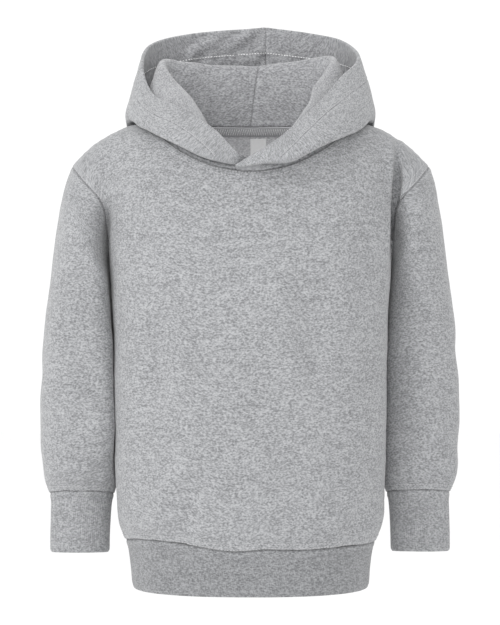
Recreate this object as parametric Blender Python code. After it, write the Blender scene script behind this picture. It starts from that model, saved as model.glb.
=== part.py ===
"""A toddler's pullover hoodie, filled out as if worn, with the hood down behind the neck.

The origin is the middle of the neck opening, level with the back neck seam. +Z is up, the wearer
faces -Y, and the wearer's left is +X. All sizes below are millimetres and degrees, and
make_object() turns them into metres. Each cut piece is one closed wall: an outer grid of points,
worked out from the tables here, and the same grid moved in by the cloth's thickness.
"""

from math import cos, pi, sin, sqrt

import bpy
import numpy as np

METRES_PER_MM = 0.001
FRONT, BACK = -1, 1

FLEECE = 2.0  # one layer of brushed fleece
RIB = 3.0  # doubled rib of cuffs and waistband
SEAM_GAP = 0.3  # between two sewn pieces
PANEL_EASE = 0.2  # how far each panel's edge draws back from the seam line
NECK_EASE = 0.4  # how far the hood starts from the neck seam line
ARMHOLE_EASE = 0.45  # how far a sleeve starts from the armhole seam line
REST_GAP = 1.6  # between pieces that only lie on each other
SHARP_ANGLE = 0.7  # edges that turn more than this, in radians, are shaded sharp

NECK_COLUMNS = 8  # of half a panel, from the centre to the neck point of the shoulder
SHOULDER_COLUMNS = 6
SIDE_ROWS = 10  # of a panel, from the hem to the underarm
ARMHOLE_ROWS = 10
ROW_EVENNESS = 0.35  # of the armhole's rows, against how close they come at the shoulder
SLEEVE_ROWS = 14
BAND_COLUMNS = 40
CUFF_COLUMNS = 24
HOOD_STATIONS = 20
HOOD_ROWS = 24

# ---- body: horizontal sections, from the waistband's seam up to the shoulder
HEM_Z = -387.0
UNDERARM_Z = -126.0
FRONT_NECK_Z = -54.0
SIDE_SHARE = 0.72  # of the way up a panel, the side seam ends at the underarm
SIDE_BEND = 5  # how soon, going inwards, a panel's rows forget the shape of its side
TOP_BEND = 4  # and, going down, the shape of its neck and shoulder
NECK_SHARE = 8 / 14  # of the way across the top of a panel, the neck ends
SIDE_NECK_X = 93.0
SIDE_NECK_Z = -1.5
NECK_ROUNDNESS = 1.5
SHOULDER_END_X = 164.5
SHOULDER_END_Z = -44.5
SHOULDER_ROUNDING = 75.0  # height over which the body closes in to the shoulder line
ROUNDING_POWER = 2.2
BACK_BOXINESS = 2.25

BODY = [
    dict(z=-387.0, half_width=114.2, front=77.0, back=73.0, boxiness=2.3, middle=0.0),
    dict(z=-374.0, half_width=119.6, front=82.0, back=77.0, boxiness=2.35, middle=0.0),
    dict(z=-340.0, half_width=122.6, front=85.0, back=79.0, boxiness=2.4, middle=0.0),
    dict(z=-260.0, half_width=124.6, front=86.0, back=80.0, boxiness=2.4, middle=0.0),
    dict(z=-180.0, half_width=126.4, front=85.0, back=80.0, boxiness=2.6, middle=1.0),
    dict(z=-126.0, half_width=129.5, front=83.0, back=80.0, boxiness=2.9, middle=2.0),
    dict(z=-60.0, half_width=129.5, front=77.0, back=77.0, boxiness=2.9, middle=6.0),
    dict(z=0.0, half_width=129.0, front=72.0, back=78.0, boxiness=2.6, middle=6.0),
]
SHOULDER_LINE = [
    dict(x=0.0, z=17.0),
    dict(x=60.0, z=10.0),
    dict(x=93.0, z=-1.5),
    dict(x=113.6, z=-7.6),
    dict(x=128.8, z=-14.9),
    dict(x=144.0, z=-24.5),
    dict(x=156.4, z=-35.3),
    dict(x=164.5, z=-44.5),
]
ARMHOLE = [
    dict(x=129.3, z=-126.0),
    dict(x=130.6, z=-112.0),
    dict(x=131.8, z=-98.0),
    dict(x=132.8, z=-86.0),
    dict(x=136.5, z=-76.5),
    dict(x=143.0, z=-69.0),
    dict(x=152.5, z=-59.0),
    dict(x=164.5, z=-44.5),
]
# The two widest soft folds of the front. "lean" is the fall of its top towards the middle, as
# millimetres of x for each millimetre of z.
FRONT_FOLDS = [
    dict(x=-72.0, z=-295.0, lean=-0.18, half_length=62.0, half_width=15.0, depth=3.0),
    dict(x=54.0, z=-218.0, lean=-0.25, half_length=45.0, half_width=13.0, depth=2.4),
]
# The cloth over the upper arm, and the crease between it and the chest.
ARM_DEPTH = 46.0
ARM_FADE = 50.0
ARM_SHARE = 0.6  # of the depth over the arm, the most that the crease takes
CREASE_X = 131.0
CREASE_TOP_Z = -36.0
CREASE_FULL_Z = -76.0
CREASE = {
    +1: dict(depth=15.0, width=7.0),
    -1: dict(depth=9.0, width=9.0),
}

# ---- sleeves: sections from the armhole down, each between an inner and an outer point
SLEEVE = [
    dict(inner_x=130.6, inner_z=-134.0, outer_x=170.2, outer_z=-61.0, middle=10.0, depth=46.0),
    dict(inner_x=129.0, inner_z=-148.0, outer_x=177.0, outer_z=-94.0, middle=15.0, depth=44.0),
    dict(inner_x=127.0, inner_z=-170.0, outer_x=184.6, outer_z=-146.0, middle=20.0, depth=41.0),
    dict(inner_x=123.8, inner_z=-205.0, outer_x=190.8, outer_z=-196.0, middle=25.0, depth=38.0),
    dict(inner_x=121.5, inner_z=-250.0, outer_x=194.4, outer_z=-249.0, middle=28.0, depth=36.0),
    dict(inner_x=120.6, inner_z=-295.0, outer_x=194.2, outer_z=-295.0, middle=27.0, depth=34.5),
    dict(inner_x=121.5, inner_z=-328.0, outer_x=191.6, outer_z=-330.0, middle=24.0, depth=32.0),
    dict(inner_x=126.6, inner_z=-346.5, outer_x=185.6, outer_z=-346.5, middle=21.0, depth=22.0),
]
SLEEVE_SETBACK = {+1: 1.0, -1: 0.55}  # how far behind the side seam each sleeve hangs
SLEEVE_TILT = 0.2  # the forearm leans forward, so its front edge is higher
TILT_TOP_Z = -150.0  # where that begins
TILT_HEIGHT = 190.0  # and over how much height it grows

CUFF = [
    dict(z=-346.8, inner_x=126.9, outer_x=185.3, depth=21.0, middle=21.0),
    dict(z=-352.0, inner_x=128.0, outer_x=184.8, depth=20.0, middle=20.6),
    dict(z=-365.0, inner_x=129.2, outer_x=184.9, depth=19.0, middle=19.6),
    dict(z=-385.0, inner_x=130.0, outer_x=185.2, depth=18.4, middle=18.2),
    dict(z=-397.0, inner_x=130.3, outer_x=185.2, depth=18.0, middle=17.4),
    dict(z=-399.6, inner_x=131.2, outer_x=184.3, depth=17.2, middle=17.3),
]
WAISTBAND = [
    dict(z=-387.3, half_width=114.1, front=76.9, back=72.9),
    dict(z=-392.0, half_width=112.8, front=75.6, back=71.8),
    dict(z=-401.0, half_width=111.2, front=74.4, back=70.8),
    dict(z=-413.0, half_width=109.8, front=73.2, back=70.0),
    dict(z=-425.0, half_width=108.8, front=72.4, back=69.4),
    dict(z=-429.5, half_width=107.6, front=71.2, back=68.4),
]
BAND_BOXINESS = 2.3
CUFF_TILT_LEFT = 0.4  # of the sleeve's tilt, at the cuff's open end

# ---- hood: stations round the neck, from the tip at the front to the centre seam at the back.
# From the neck seam the cloth rises to a ridge, rolls out and down to the bottom of the bag, and
# comes up outside it to the rim of the face opening. "around" is the place on the neck seam, from
# 0 at the front to 1 at the back.
HOOD_COLUMNS = ("around", "ridge_x", "ridge_y", "ridge_z", "bag_x", "bag_y", "bag_z",
                "rim_x", "rim_y", "rim_z")
HOOD_LEFT = [
    (-0.041, -13, -76, -50.3, -13, -79.5, -51.2, -13, -83.5, -50),
    (0.041, 12, -77, -43.5, 12, -89, -48, 14, -86, -35),
    (0.123, 36, -60, -16, 36, -87, -43, 38, -68, -15),
    (0.232, 54, -26, 11, 65, -77, -30, 64, -38, 12),
    (0.376, 66, 3, 32, 96, -45, -16, 82, -7, 35),
    (0.50, 76, 31, 54, 115, 5, -3, 101.5, 32, 59),
    (0.70, 75, 50, 63, 107, 68, -40, 91, 75, 80),
    (0.85, 48, 65, 61, 66, 94, -68, 60, 98, 91),
    (1.0, 8, 72, 56, 12, 104, -78, 15, 112, 99),
]
HOOD_RIGHT = [
    (0.004, -1.5, -66.8, -48.5, -2, -67.2, -45, -2, -68.5, -39.5),
    (0.045, -13, -69, -44, -14, -73, -38.5, -13, -78, -27),
    (0.123, -34, -55, -19, -38, -84, -42, -32, -66, -18),
    (0.232, -53, -24, 13, -66, -77, -30, -64, -46, 4),
    (0.376, -69, 2, 33, -97, -46, -13, -89, -14, 20),
    (0.50, -81, 24, 52, -114.5, 5, -4, -101.5, 27, 51),
    (0.70, -78, 45, 59, -106, 66, -40, -96, 67, 76),
    (0.85, -46, 63, 57, -58, 94, -68, -57, 98, 91),
    (1.0, 8, 72, 56, 12, 104, -78, 15, 112, 99),
]
HOOD_ROLL = 6.0  # half the width of the roll along the ridge
ROLL_SHARE = 0.25  # and at most this share of the way out to the bag
BAG_FOLD = 24.0  # half the width of the bag's bottom
FOLD_SHARE = 0.45  # and at most this share of the way out
FOLD_REACH = 0.6  # or this share of the way from the neck
BAG_LIP = 0.12  # of that half width, the bottom's outer edge
BELLY = 0.05  # how far the outer layer stands out, for its height
OUTSIDE = 0.45  # of the way along a station, where the cloth has rolled over
HOOD_HEM = 25.0  # the turned hem round the face opening
HEM_EXTRA = 1.6  # its second layer, pressed flat
HEM_STEP = 6.0  # the width over which that layer comes in
HEM_START = 60.0  # a station longer than this has the hem, and it is full at twice this
ABOVE_NECK = (0.0, -5.0, 30.0)
NECK_STAND = 2.0  # the hood leaves the neck seam in line with the body
HOOD_REST = 3.4  # from the body's outside to the middle of the hood's cloth, where it lies on it
UNDERLAP = 3.0  # the right half's tip lies this far inside the left half's
UNDERLAP_END = 0.075  # on the neck seam, as in "around"
UNDERLAP_FADE = 0.03

# ---- trim inside the back neck
TAPE_TOP, TAPE_BOTTOM = -2.4, -10.4
TAPE_HALF_LENGTH = 78.0
TAPE_THICKNESS = 1.0
TAPE_COLUMNS = 20
LABEL_LEFT, LABEL_RIGHT = 0.0, 15.3
LABEL_TOP, LABEL_BOTTOM = -12.9, -32.9
LABEL_THICKNESS = 0.6

HEATHER_GREY = dict(colour=(0.36, 0.36, 0.37), roughness=0.95)
RIB_GREY = dict(colour=(0.30, 0.30, 0.31), roughness=0.95)
TAPE_GREY = dict(colour=(0.48, 0.48, 0.49), roughness=0.9)
LABEL_WHITE = dict(colour=(0.75, 0.75, 0.76), roughness=0.6)


# ---- small geometry tools
def smooth_table(rows, key, column, at):
    """Reads a column between the rows of a table, with a smooth curve through them."""
    keys = [row[key] for row in rows]
    values = [row[column] for row in rows]
    at = min(max(at, keys[0]), keys[-1])
    i = min(max(np.searchsorted(keys, at) - 1, 0), len(keys) - 2)
    width = keys[i + 1] - keys[i]
    t = (at - keys[i]) / width
    slopes = np.gradient(values, keys)
    start, end = slopes[i] * width, slopes[i + 1] * width
    return (
        values[i] * (2 * t**3 - 3 * t**2 + 1)
        + start * (t**3 - 2 * t**2 + t)
        + values[i + 1] * (3 * t**2 - 2 * t**3)
        + end * (t**3 - t**2)
    )


def through(points, t):
    """The point at t (0 to 1) of a smooth curve through a list of points, arrays or numbers."""
    points = np.asarray(points, float)
    last = len(points) - 1
    place = min(max(t, 0.0), 1.0) * last
    i = min(int(place), last - 1)
    f = place - i
    before = points[i - 1] if i > 0 else 2 * points[0] - points[1]
    after = points[i + 2] if i + 2 <= last else 2 * points[last] - points[last - 1]
    return 0.5 * (
        2 * points[i]
        + (points[i + 1] - before) * f
        + (2 * before - 5 * points[i] + 4 * points[i + 1] - after) * f**2
        + (3 * points[i] - before - 3 * points[i + 1] + after) * f**3
    )


def rolled(controls, t):
    """The point at t (0 to 1) of a quadratic B-spline that starts and ends on its end controls."""
    controls = np.asarray(controls, float)
    spans = len(controls) - 2
    place = min(max(t, 0.0), 1.0) * spans
    i = min(int(place), spans - 1)
    f = place - i
    start = controls[0] if i == 0 else (controls[i] + controls[i + 1]) / 2
    end = controls[-1] if i == spans - 1 else (controls[i + 1] + controls[i + 2]) / 2
    return start * (1 - f) ** 2 + 2 * controls[i + 1] * f * (1 - f) + end * f**2


def unit(vector):
    return vector / np.maximum(np.linalg.norm(vector, axis=-1, keepdims=True), 1e-9)


def grid_normals(grid, closed):
    """The outward direction at each point of a grid of rows and columns."""
    along = np.gradient(grid, axis=0)
    if closed:
        across = np.roll(grid, -1, axis=1) - np.roll(grid, 1, axis=1)
    else:
        across = np.gradient(grid, axis=1)
    return unit(np.cross(across, along))


def wall_mesh(outer, inner, closed):
    """Vertices and faces of the closed wall between two grids."""
    rows, columns = outer.shape[:2]
    vertices = np.concatenate([outer.reshape(-1, 3), inner.reshape(-1, 3)])
    inside = rows * columns
    faces = []
    spans = columns if closed else columns - 1
    for r in range(rows - 1):
        for c in range(spans):
            d = (c + 1) % columns
            a, b = r * columns + c, r * columns + d
            e, f = b + columns, a + columns
            faces.append((a, b, e, f))
            faces.append((a + inside, f + inside, e + inside, b + inside))
    for c in range(spans):
        d = (c + 1) % columns
        top = (rows - 1) * columns
        faces.append((c, c + inside, d + inside, d))
        faces.append((top + c, top + d, top + d + inside, top + c + inside))
    if not closed:
        for r in range(rows - 1):
            a, b = r * columns, (r + 1) * columns
            p, q = a + columns - 1, b + columns - 1
            faces.append((a, b, b + inside, a + inside))
            faces.append((p, p + inside, q + inside, q))
    return vertices, faces


def make_object(name, outer, inner, closed, look):
    vertices, faces = wall_mesh(outer, inner, closed)
    mesh = bpy.data.meshes.new(name)
    mesh.from_pydata((vertices * METRES_PER_MM).tolist(), [], faces)
    mesh.shade_smooth()
    mesh.set_sharp_from_angle(angle=SHARP_ANGLE)
    material = bpy.data.materials.new(name)
    material.use_nodes = True
    shader = material.node_tree.nodes["Principled BSDF"]
    shader.inputs["Base Color"].default_value = (*look["colour"], 1.0)
    shader.inputs["Roughness"].default_value = look["roughness"]
    shader.inputs["Metallic"].default_value = 0.0
    mesh.materials.append(material)
    obj = bpy.data.objects.new(name, mesh)
    bpy.context.scene.collection.objects.link(obj)
    return obj


# ---- body
def shoulder_z(x):
    return smooth_table(SHOULDER_LINE, "x", "z", abs(x))


def fold_depth(x, z):
    """How deep the front's soft folds are at x, z."""
    depth = 0.0
    for fold in FRONT_FOLDS:
        along = (z - fold["z"]) / fold["half_length"]
        across = (x - fold["x"] - fold["lean"] * (z - fold["z"])) / fold["half_width"]
        depth += fold["depth"] * np.exp(-(along**2) - across**2)
    return depth


def body_y(x, z, face):
    """How far forward (face -1) or back (face 1) the body's cloth lies at x, z."""
    side = 1 if x >= 0 else -1
    half_width = smooth_table(BODY, "z", "half_width", z)
    depth = smooth_table(BODY, "z", "front" if face == FRONT else "back", z)
    boxiness = smooth_table(BODY, "z", "boxiness", z) if face == FRONT else BACK_BOXINESS
    middle = smooth_table(BODY, "z", "middle", z)
    share = min(abs(x) / half_width, 1.0)
    torso = depth * (1 - share**boxiness) ** (1 / boxiness)
    over_arm = ARM_DEPTH * min(max((z - UNDERARM_Z) / ARM_FADE, 0.0), 1.0)
    fall = min(max((CREASE_TOP_Z - z) / (CREASE_TOP_Z - CREASE_FULL_Z), 0.0), 1.0)
    crease = CREASE[side]
    groove = min(crease["depth"] * fall, ARM_SHARE * over_arm)
    over_arm -= groove * np.exp(-(((abs(x) - CREASE_X) / crease["width"]) ** 2))
    cloth = 0.5 * (torso + over_arm + sqrt((torso - over_arm) ** 2 + crease["width"] ** 2))
    if z <= UNDERARM_Z:
        cloth = torso
    if face == FRONT:
        cloth -= fold_depth(x, z)
    below = min(max((shoulder_z(x) - z) / SHOULDER_ROUNDING, 0.0), 1.0)
    closing = (1 - (1 - below) ** ROUNDING_POWER) ** (1 / ROUNDING_POWER)
    return middle + face * cloth * closing


def body_out(x, z, face):
    """The outward direction of the body's cloth at x, z."""
    step = 0.4
    across = (body_y(x + step, z, face) - body_y(x - step, z, face)) / (2 * step)
    up = (body_y(x, z + step, face) - body_y(x, z - step, face)) / (2 * step)
    return face * unit(np.array([-across, 1.0, -up]))


def spread(t):
    """Puts columns and rows closer together towards an edge that rounds away."""
    return sin(t * pi / 2)


def side_edge(v):
    """x and z of a panel's side seam and armhole, from the hem (0) to the shoulder's end (1)."""
    if v <= SIDE_SHARE:
        z = HEM_Z + (UNDERARM_Z - HEM_Z) * v / SIDE_SHARE
        return np.array([smooth_table(BODY, "z", "half_width", z), z])
    return through([(p["x"], p["z"]) for p in ARMHOLE], (v - SIDE_SHARE) / (1 - SIDE_SHARE))


def neck_z(x, face):
    """Height of the neck edge at x."""
    drop = FRONT_NECK_Z - SIDE_NECK_Z if face == FRONT else 0.0
    return SIDE_NECK_Z + drop * sqrt(1 - (x / SIDE_NECK_X) ** 2) ** NECK_ROUNDNESS


def top_edge(u, face):
    """x and z of a panel's neck edge and shoulder line, from the centre (0) to the sleeve (1)."""
    if u <= NECK_SHARE:
        x = SIDE_NECK_X * sin(pi / 2 * u / NECK_SHARE)
        return np.array([x, neck_z(x, face)])
    start, end = spread(NECK_SHARE), 1.0
    x = SIDE_NECK_X + (SHOULDER_END_X - SIDE_NECK_X) * (spread(u) - start) / (end - start)
    return np.array([x, shoulder_z(x)])


def panel_xz(u, v, face):
    """x and z inside a panel: an even spread that bends to its side and to its top near them."""
    g = spread(u)
    bottom = np.array([side_edge(0)[0] * g, HEM_Z])
    top = (1 - g) * top_edge(0, face) + g * side_edge(1)
    side_shape = side_edge(v) - (1 - v) * side_edge(0) - v * side_edge(1)
    top_shape = top_edge(u, face) - top
    return (1 - v) * bottom + v * top + g**SIDE_BEND * side_shape + v**TOP_BEND * top_shape


def armhole_share(t):
    """Rows of the armhole are closer together towards the shoulder."""
    return SIDE_SHARE + (1 - SIDE_SHARE) * (ROW_EVENNESS * t + (1 - ROW_EVENNESS) * spread(t))


def panel_grid(face):
    shares = [SIDE_SHARE * r / SIDE_ROWS for r in range(SIDE_ROWS)]
    shares += [armhole_share(r / ARMHOLE_ROWS) for r in range(ARMHOLE_ROWS + 1)]
    half = NECK_COLUMNS + SHOULDER_COLUMNS
    grid = np.zeros((len(shares), 2 * half + 1, 3))
    for r, v in enumerate(shares):
        for c in range(2 * half + 1):
            across = c / half - 1
            side = 1 if across >= 0 else -1
            x, z = panel_xz(abs(across), v, face)
            grid[r, c] = (side * x, body_y(side * x, z, face), z)
    return grid if face == FRONT else grid[:, ::-1]


def draw_back(grid, distance):
    """Moves a grid's edge points inwards along the cloth, for the gap at each seam."""
    moved = grid.copy()
    moved[0] += distance * unit(grid[1] - grid[0])
    moved[-1] += distance * unit(grid[-2] - grid[-1])
    moved[:, 0] += distance * unit(grid[:, 1] - grid[:, 0])
    moved[:, -1] += distance * unit(grid[:, -2] - grid[:, -1])
    return moved


def body_surfaces():
    """The outer grid and the outward directions of the front and of the back."""
    front, back = panel_grid(FRONT), panel_grid(BACK)
    front_out = np.array([[body_out(p[0], p[2], FRONT) for p in row] for row in front])
    back_out = np.array([[body_out(p[0], p[2], BACK) for p in row] for row in back])
    # Front and back share one direction along the side seams and along the shoulders.
    columns = 2 * (NECK_COLUMNS + SHOULDER_COLUMNS)
    shared = [((r, c), (r, columns - c)) for r in range(SIDE_ROWS + 1) for c in (0, columns)]
    shoulders = [*range(SHOULDER_COLUMNS + 1), *range(columns - SHOULDER_COLUMNS, columns + 1)]
    shared += [((-1, c), (-1, columns - c)) for c in shoulders]
    for at_front, at_back in shared:
        both = unit(front_out[at_front] + back_out[at_back])
        front_out[at_front] = both
        back_out[at_back] = both
    return {FRONT: (front, front_out), BACK: (back, back_out)}


def body_panels(body):
    for name, face in (("front_panel", FRONT), ("back_panel", BACK)):
        grid, out = body[face]
        outer = draw_back(grid, PANEL_EASE)
        inner = draw_back(grid - out * FLEECE, PANEL_EASE)
        make_object(name, outer, inner, False, HEATHER_GREY)


def edge_frame(before, after, out, towards):
    """The direction that leaves a panel at its edge, square to the edge and in line with it."""
    leaving = unit(np.cross(after - before, out))
    return leaving if np.dot(leaving, towards) > 0 else -leaving


def mixed(grid, row, column):
    """A point between two columns of a grid's row."""
    low = min(int(column), grid.shape[1] - 2)
    f = column - low
    return grid[row, low] * (1 - f) + grid[row, low + 1] * f


def clear_of_body(point, gap):
    """Moves a point that would lie in the body's cloth out to the gap from it."""
    x, y, z = point
    if not HEM_Z < z < UNDERARM_Z:
        return point
    side = 1 if x >= 0 else -1
    half_width = smooth_table(BODY, "z", "half_width", z)
    face = FRONT if y < smooth_table(BODY, "z", "middle", z) else BACK
    depth = smooth_table(BODY, "z", "front" if face == FRONT else "back", z)
    boxiness = smooth_table(BODY, "z", "boxiness", z) if face == FRONT else BACK_BOXINESS
    share = min(abs(y - smooth_table(BODY, "z", "middle", z)) / depth, 1.0)
    edge = half_width * (1 - share**boxiness) ** (1 / boxiness) + gap
    return np.array([side * max(abs(x), edge), y, z])


# ---- sleeves and cuffs
def armhole_place(body, side, step):
    """A point of the armhole's loop, its outward direction and the point beside it in the panel."""
    step %= 2 * ARMHOLE_ROWS
    face = FRONT if step <= ARMHOLE_ROWS else BACK
    row = SIDE_ROWS + abs(ARMHOLE_ROWS - step)
    grid, out = body[face]
    column = -1 if side * face < 0 else 0
    beside = -2 if column else 1
    inside = grid[row, beside]
    if step in (0, ARMHOLE_ROWS):
        inside = (inside + body[BACK][0][row, 1 if side > 0 else -2]) / 2
    return grid[row, column], out[row, column], inside


def armhole_start(body, side, step):
    """Where the sleeve begins, and the direction in which it leaves the panel."""
    edge, out, inside = armhole_place(body, side, step)
    before = armhole_place(body, side, step - 1)[0]
    after = armhole_place(body, side, step + 1)[0]
    leaving = edge_frame(before, after, out, edge - inside)
    return edge + leaving * ARMHOLE_EASE + out * SEAM_GAP, leaving


def sleeve_section(row, side, turn):
    """A point of one sleeve section; turn runs from the outer side over the front to the inner."""
    angle = 2 * pi * turn
    outer = np.array([row["outer_x"], 0.0, row["outer_z"]])
    inner = np.array([row["inner_x"], 0.0, row["inner_z"]])
    middle = row["middle"] * SLEEVE_SETBACK[side]
    lean = sin(angle) * row["depth"]
    point = (outer + inner) / 2 + (outer - inner) / 2 * cos(angle)
    reach = min(max((TILT_TOP_Z - row["outer_z"]) / TILT_HEIGHT, 0.0), 1.0)
    point += np.array([0.0, middle - lean, lean * SLEEVE_TILT * reach])
    point[0] *= side
    return point


def sleeve_grid(body, side):
    rows = []
    columns = 2 * ARMHOLE_ROWS
    for k in range(SLEEVE_ROWS + 1):
        ring = []
        for c in range(columns):
            turn = c / columns
            stations = [armhole_start(body, side, c)[0]]
            stations += [sleeve_section(row, side, turn) for row in SLEEVE]
            point = through(stations, k / SLEEVE_ROWS)
            ring.append(point if k == 0 else clear_of_body(point, REST_GAP))
        rows.append(ring)
    grid = np.array(rows)
    return grid[::-1, ::-1] if side > 0 else grid[::-1]


def sleeves(body):
    for side, name in ((1, "sleeve_left"), (-1, "sleeve_right")):
        outer = sleeve_grid(body, side)
        out = grid_normals(outer, True)
        # At the armhole the wall's end stays square to the panel, so the two can't cross.
        steps = range(2 * ARMHOLE_ROWS)
        leaving = np.array([armhole_start(body, side, c)[1] for c in steps])
        leaving = leaving[::-1] if side > 0 else leaving
        overlap = np.maximum((out[-1] * leaving).sum(axis=1, keepdims=True), 0)
        out[-1] = unit(out[-1] - leaving * overlap)
        inner = outer - out * FLEECE
        make_object(name, outer, inner, True, HEATHER_GREY)


def cuffs():
    for side, name in ((1, "cuff_left"), (-1, "cuff_right")):
        rows = []
        for row in reversed(CUFF):
            ring = []
            for c in range(CUFF_COLUMNS):
                angle = 2 * pi * c / CUFF_COLUMNS
                centre = (row["inner_x"] + row["outer_x"]) / 2
                half = (row["outer_x"] - row["inner_x"]) / 2
                lean = sin(angle) * row["depth"]
                up = (row["z"] - CUFF[-1]["z"]) / (CUFF[0]["z"] - CUFF[-1]["z"])
                tilt = SLEEVE_TILT * (CUFF_TILT_LEFT + (1 - CUFF_TILT_LEFT) * up)
                y = row["middle"] * SLEEVE_SETBACK[side] - lean
                ring.append((side * (centre + half * cos(angle)), y, row["z"] + lean * tilt))
            rows.append(ring)
        outer = np.array(rows)
        outer = outer[:, ::-1] if side > 0 else outer
        inner = outer - grid_normals(outer, True) * RIB
        inner[:, :, 2] = outer[:, :, 2]
        make_object(name, outer, inner, True, RIB_GREY)


# ---- waistband
def superellipse(row, angle, power):
    """A point of a body ring: angle 0 is the wearer's left and a quarter turn is the back."""
    c, s = cos(angle), sin(angle)
    depth = row["back"] if s > 0 else row["front"]
    x = row["half_width"] * abs(c) ** (2 / power) * (1 if c >= 0 else -1)
    y = depth * abs(s) ** (2 / power) * (1 if s >= 0 else -1)
    return (x, y, row["z"])


def waistband():
    angles = [2 * pi * c / BAND_COLUMNS for c in range(BAND_COLUMNS)]
    rows = [[superellipse(row, a, BAND_BOXINESS) for a in angles] for row in reversed(WAISTBAND)]
    outer = np.array(rows)
    inner = outer - grid_normals(outer, True) * RIB
    inner[:, :, 2] = outer[:, :, 2]
    make_object("waistband", outer, inner, True, RIB_GREY)


# ---- hood
def off_the_shoulders(point, gap):
    """Moves a point of the hood that would lie in the body out to the gap from it."""
    x, y, z = point
    lower = z - gap
    face = FRONT if y < 0 else BACK
    in_neck = abs(x) < SIDE_NECK_X and lower > neck_z(abs(x), face)
    if in_neck or lower > shoulder_z(x):
        return point
    forwards = y - (body_y(x, lower, FRONT) - gap)
    backwards = body_y(x, lower, BACK) + gap - y
    upwards = shoulder_z(x) - lower
    if forwards <= 0 or backwards <= 0:
        return point
    if upwards < min(forwards, backwards):
        return np.array([x, y, z + upwards])
    if forwards < backwards:
        return np.array([x, y - forwards, z])
    return np.array([x, y + backwards, z])


def neck_place(body, side, around):
    """A point of the panels' neck edge and its outward direction."""
    face = FRONT if around <= 0.5 else BACK
    steps = 2 * NECK_COLUMNS * (around if face == FRONT else 1 - around)
    column = NECK_COLUMNS + SHOULDER_COLUMNS - side * face * steps
    grid, out = body[face]
    return mixed(grid, -1, column), unit(mixed(out, -1, column))


def neck_edge(body, side, around):
    """The panels' neck edge at a place round it, with its way up and its outward direction."""
    step = 0.5 / NECK_COLUMNS
    edge, out = neck_place(body, side, around)
    before = neck_place(body, side, max(around - step, 0.0))[0]
    after = neck_place(body, side, min(around + step, 1.0))[0]
    if abs(around) < step or around > 1 - step:
        before, after = edge, edge + np.array([1.0, 0.0, 0.0])
    return edge, edge_frame(before, after, out, np.array(ABOVE_NECK) - edge), out


def hood_profile(body, station, side, t):
    """A point of the hood's middle layer at t, from the neck seam (0) to the rim (1)."""
    around = station["around"]
    edge, along, out = neck_edge(body, side, around)
    start = edge + along * NECK_EASE - out * FLEECE / 2
    if side < 0:
        start[1] += UNDERLAP * min(max((UNDERLAP_END - around) / UNDERLAP_FADE, 0.0), 1.0)
    ridge = np.array([station["ridge_x"], station["ridge_y"], station["ridge_z"]])
    bag = np.array([station["bag_x"], station["bag_y"], station["bag_z"]])
    rim = np.array([station["rim_x"], station["rim_y"], station["rim_z"]])
    outwards = bag - ridge
    outwards[2] = max(outwards[2], 0.0)
    width = np.linalg.norm(outwards)
    outwards = unit(outwards)
    roll = min(HOOD_ROLL, ROLL_SHARE * width)
    reach = np.linalg.norm((bag - edge)[:2])
    fold = min(BAG_FOLD, FOLD_SHARE * width, FOLD_REACH * reach)
    belly = outwards * BELLY * np.linalg.norm(rim - bag)
    controls = [
        start,
        start + along * NECK_STAND,
        ridge - outwards * roll,
        ridge + outwards * roll,
        bag - outwards * fold,
        bag + outwards * fold * BAG_LIP,
        (bag + rim) / 2 + belly,
        rim,
    ]
    return rolled(controls, t)


def hood_grid(body, side):
    table = HOOD_LEFT if side > 0 else HOOD_RIGHT
    grid = np.zeros((HOOD_ROWS + 1, HOOD_STATIONS + 1, 3))
    for c in range(HOOD_STATIONS + 1):
        station = dict(zip(HOOD_COLUMNS, through(table, c / HOOD_STATIONS)))
        for r in range(HOOD_ROWS + 1):
            point = hood_profile(body, station, side, r / HOOD_ROWS)
            if r / HOOD_ROWS > OUTSIDE:
                point = off_the_shoulders(point, HOOD_REST)
            grid[r, c] = point
    return grid if side > 0 else grid[:, ::-1]


def neck_outs(body, side):
    """The panels' outward direction under each column of a hood half."""
    table = HOOD_LEFT if side > 0 else HOOD_RIGHT
    columns = range(HOOD_STATIONS + 1)
    outs = [neck_edge(body, side, through(table, c / HOOD_STATIONS)[0])[2] for c in columns]
    return np.array(outs if side > 0 else outs[::-1])


def hood_halves(body):
    for side, name in ((1, "hood_left"), (-1, "hood_right")):
        middle = hood_grid(body, side)
        out = grid_normals(middle, False)
        out[0] = neck_outs(body, side)
        seam_column = -1 if side > 0 else 0
        out[:, seam_column] = unit(out[:, seam_column] * np.array([0.0, 1.0, 1.0]))
        steps = np.linalg.norm(np.diff(middle, axis=0), axis=2)
        from_rim = np.cumsum(steps[::-1], axis=0)[::-1]
        from_rim = np.concatenate([from_rim, np.zeros((1, middle.shape[1]))])
        turned = np.clip((HOOD_HEM - from_rim) / HEM_STEP + 0.5, 0, 1)[:, :, None]
        past_tip = np.clip(from_rim[0] / HEM_START - 1, 0, 1)[None, :, None]
        outer = draw_back(middle + out * FLEECE / 2, PANEL_EASE)
        inner = draw_back(middle - out * (FLEECE / 2 + HEM_EXTRA * turned * past_tip), PANEL_EASE)
        make_object(name, outer, inner, False, HEATHER_GREY)


# ---- trim
def on_back_inside(body, x, z, depth):
    """A point on the inner face of the back panel, moved out by a depth towards the wearer."""
    grid, out = body[BACK]
    inner = grid - out * FLEECE
    columns = inner.shape[1]
    rows = [np.interp(-z, -inner[::-1, c, 2], np.arange(len(inner))[::-1]) for c in range(columns)]
    line = []
    for c, row in enumerate(rows):
        low = min(int(row), len(inner) - 2)
        f = row - low
        point = inner[low, c] * (1 - f) + inner[low + 1, c] * f
        line.append((*point, *unit(out[low, c] * (1 - f) + out[low + 1, c] * f)))
    line = np.array(line)[::-1]
    found = np.array([np.interp(x, line[:, 0], line[:, k]) for k in range(6)])
    return found[:3] - unit(found[3:]) * depth


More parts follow.
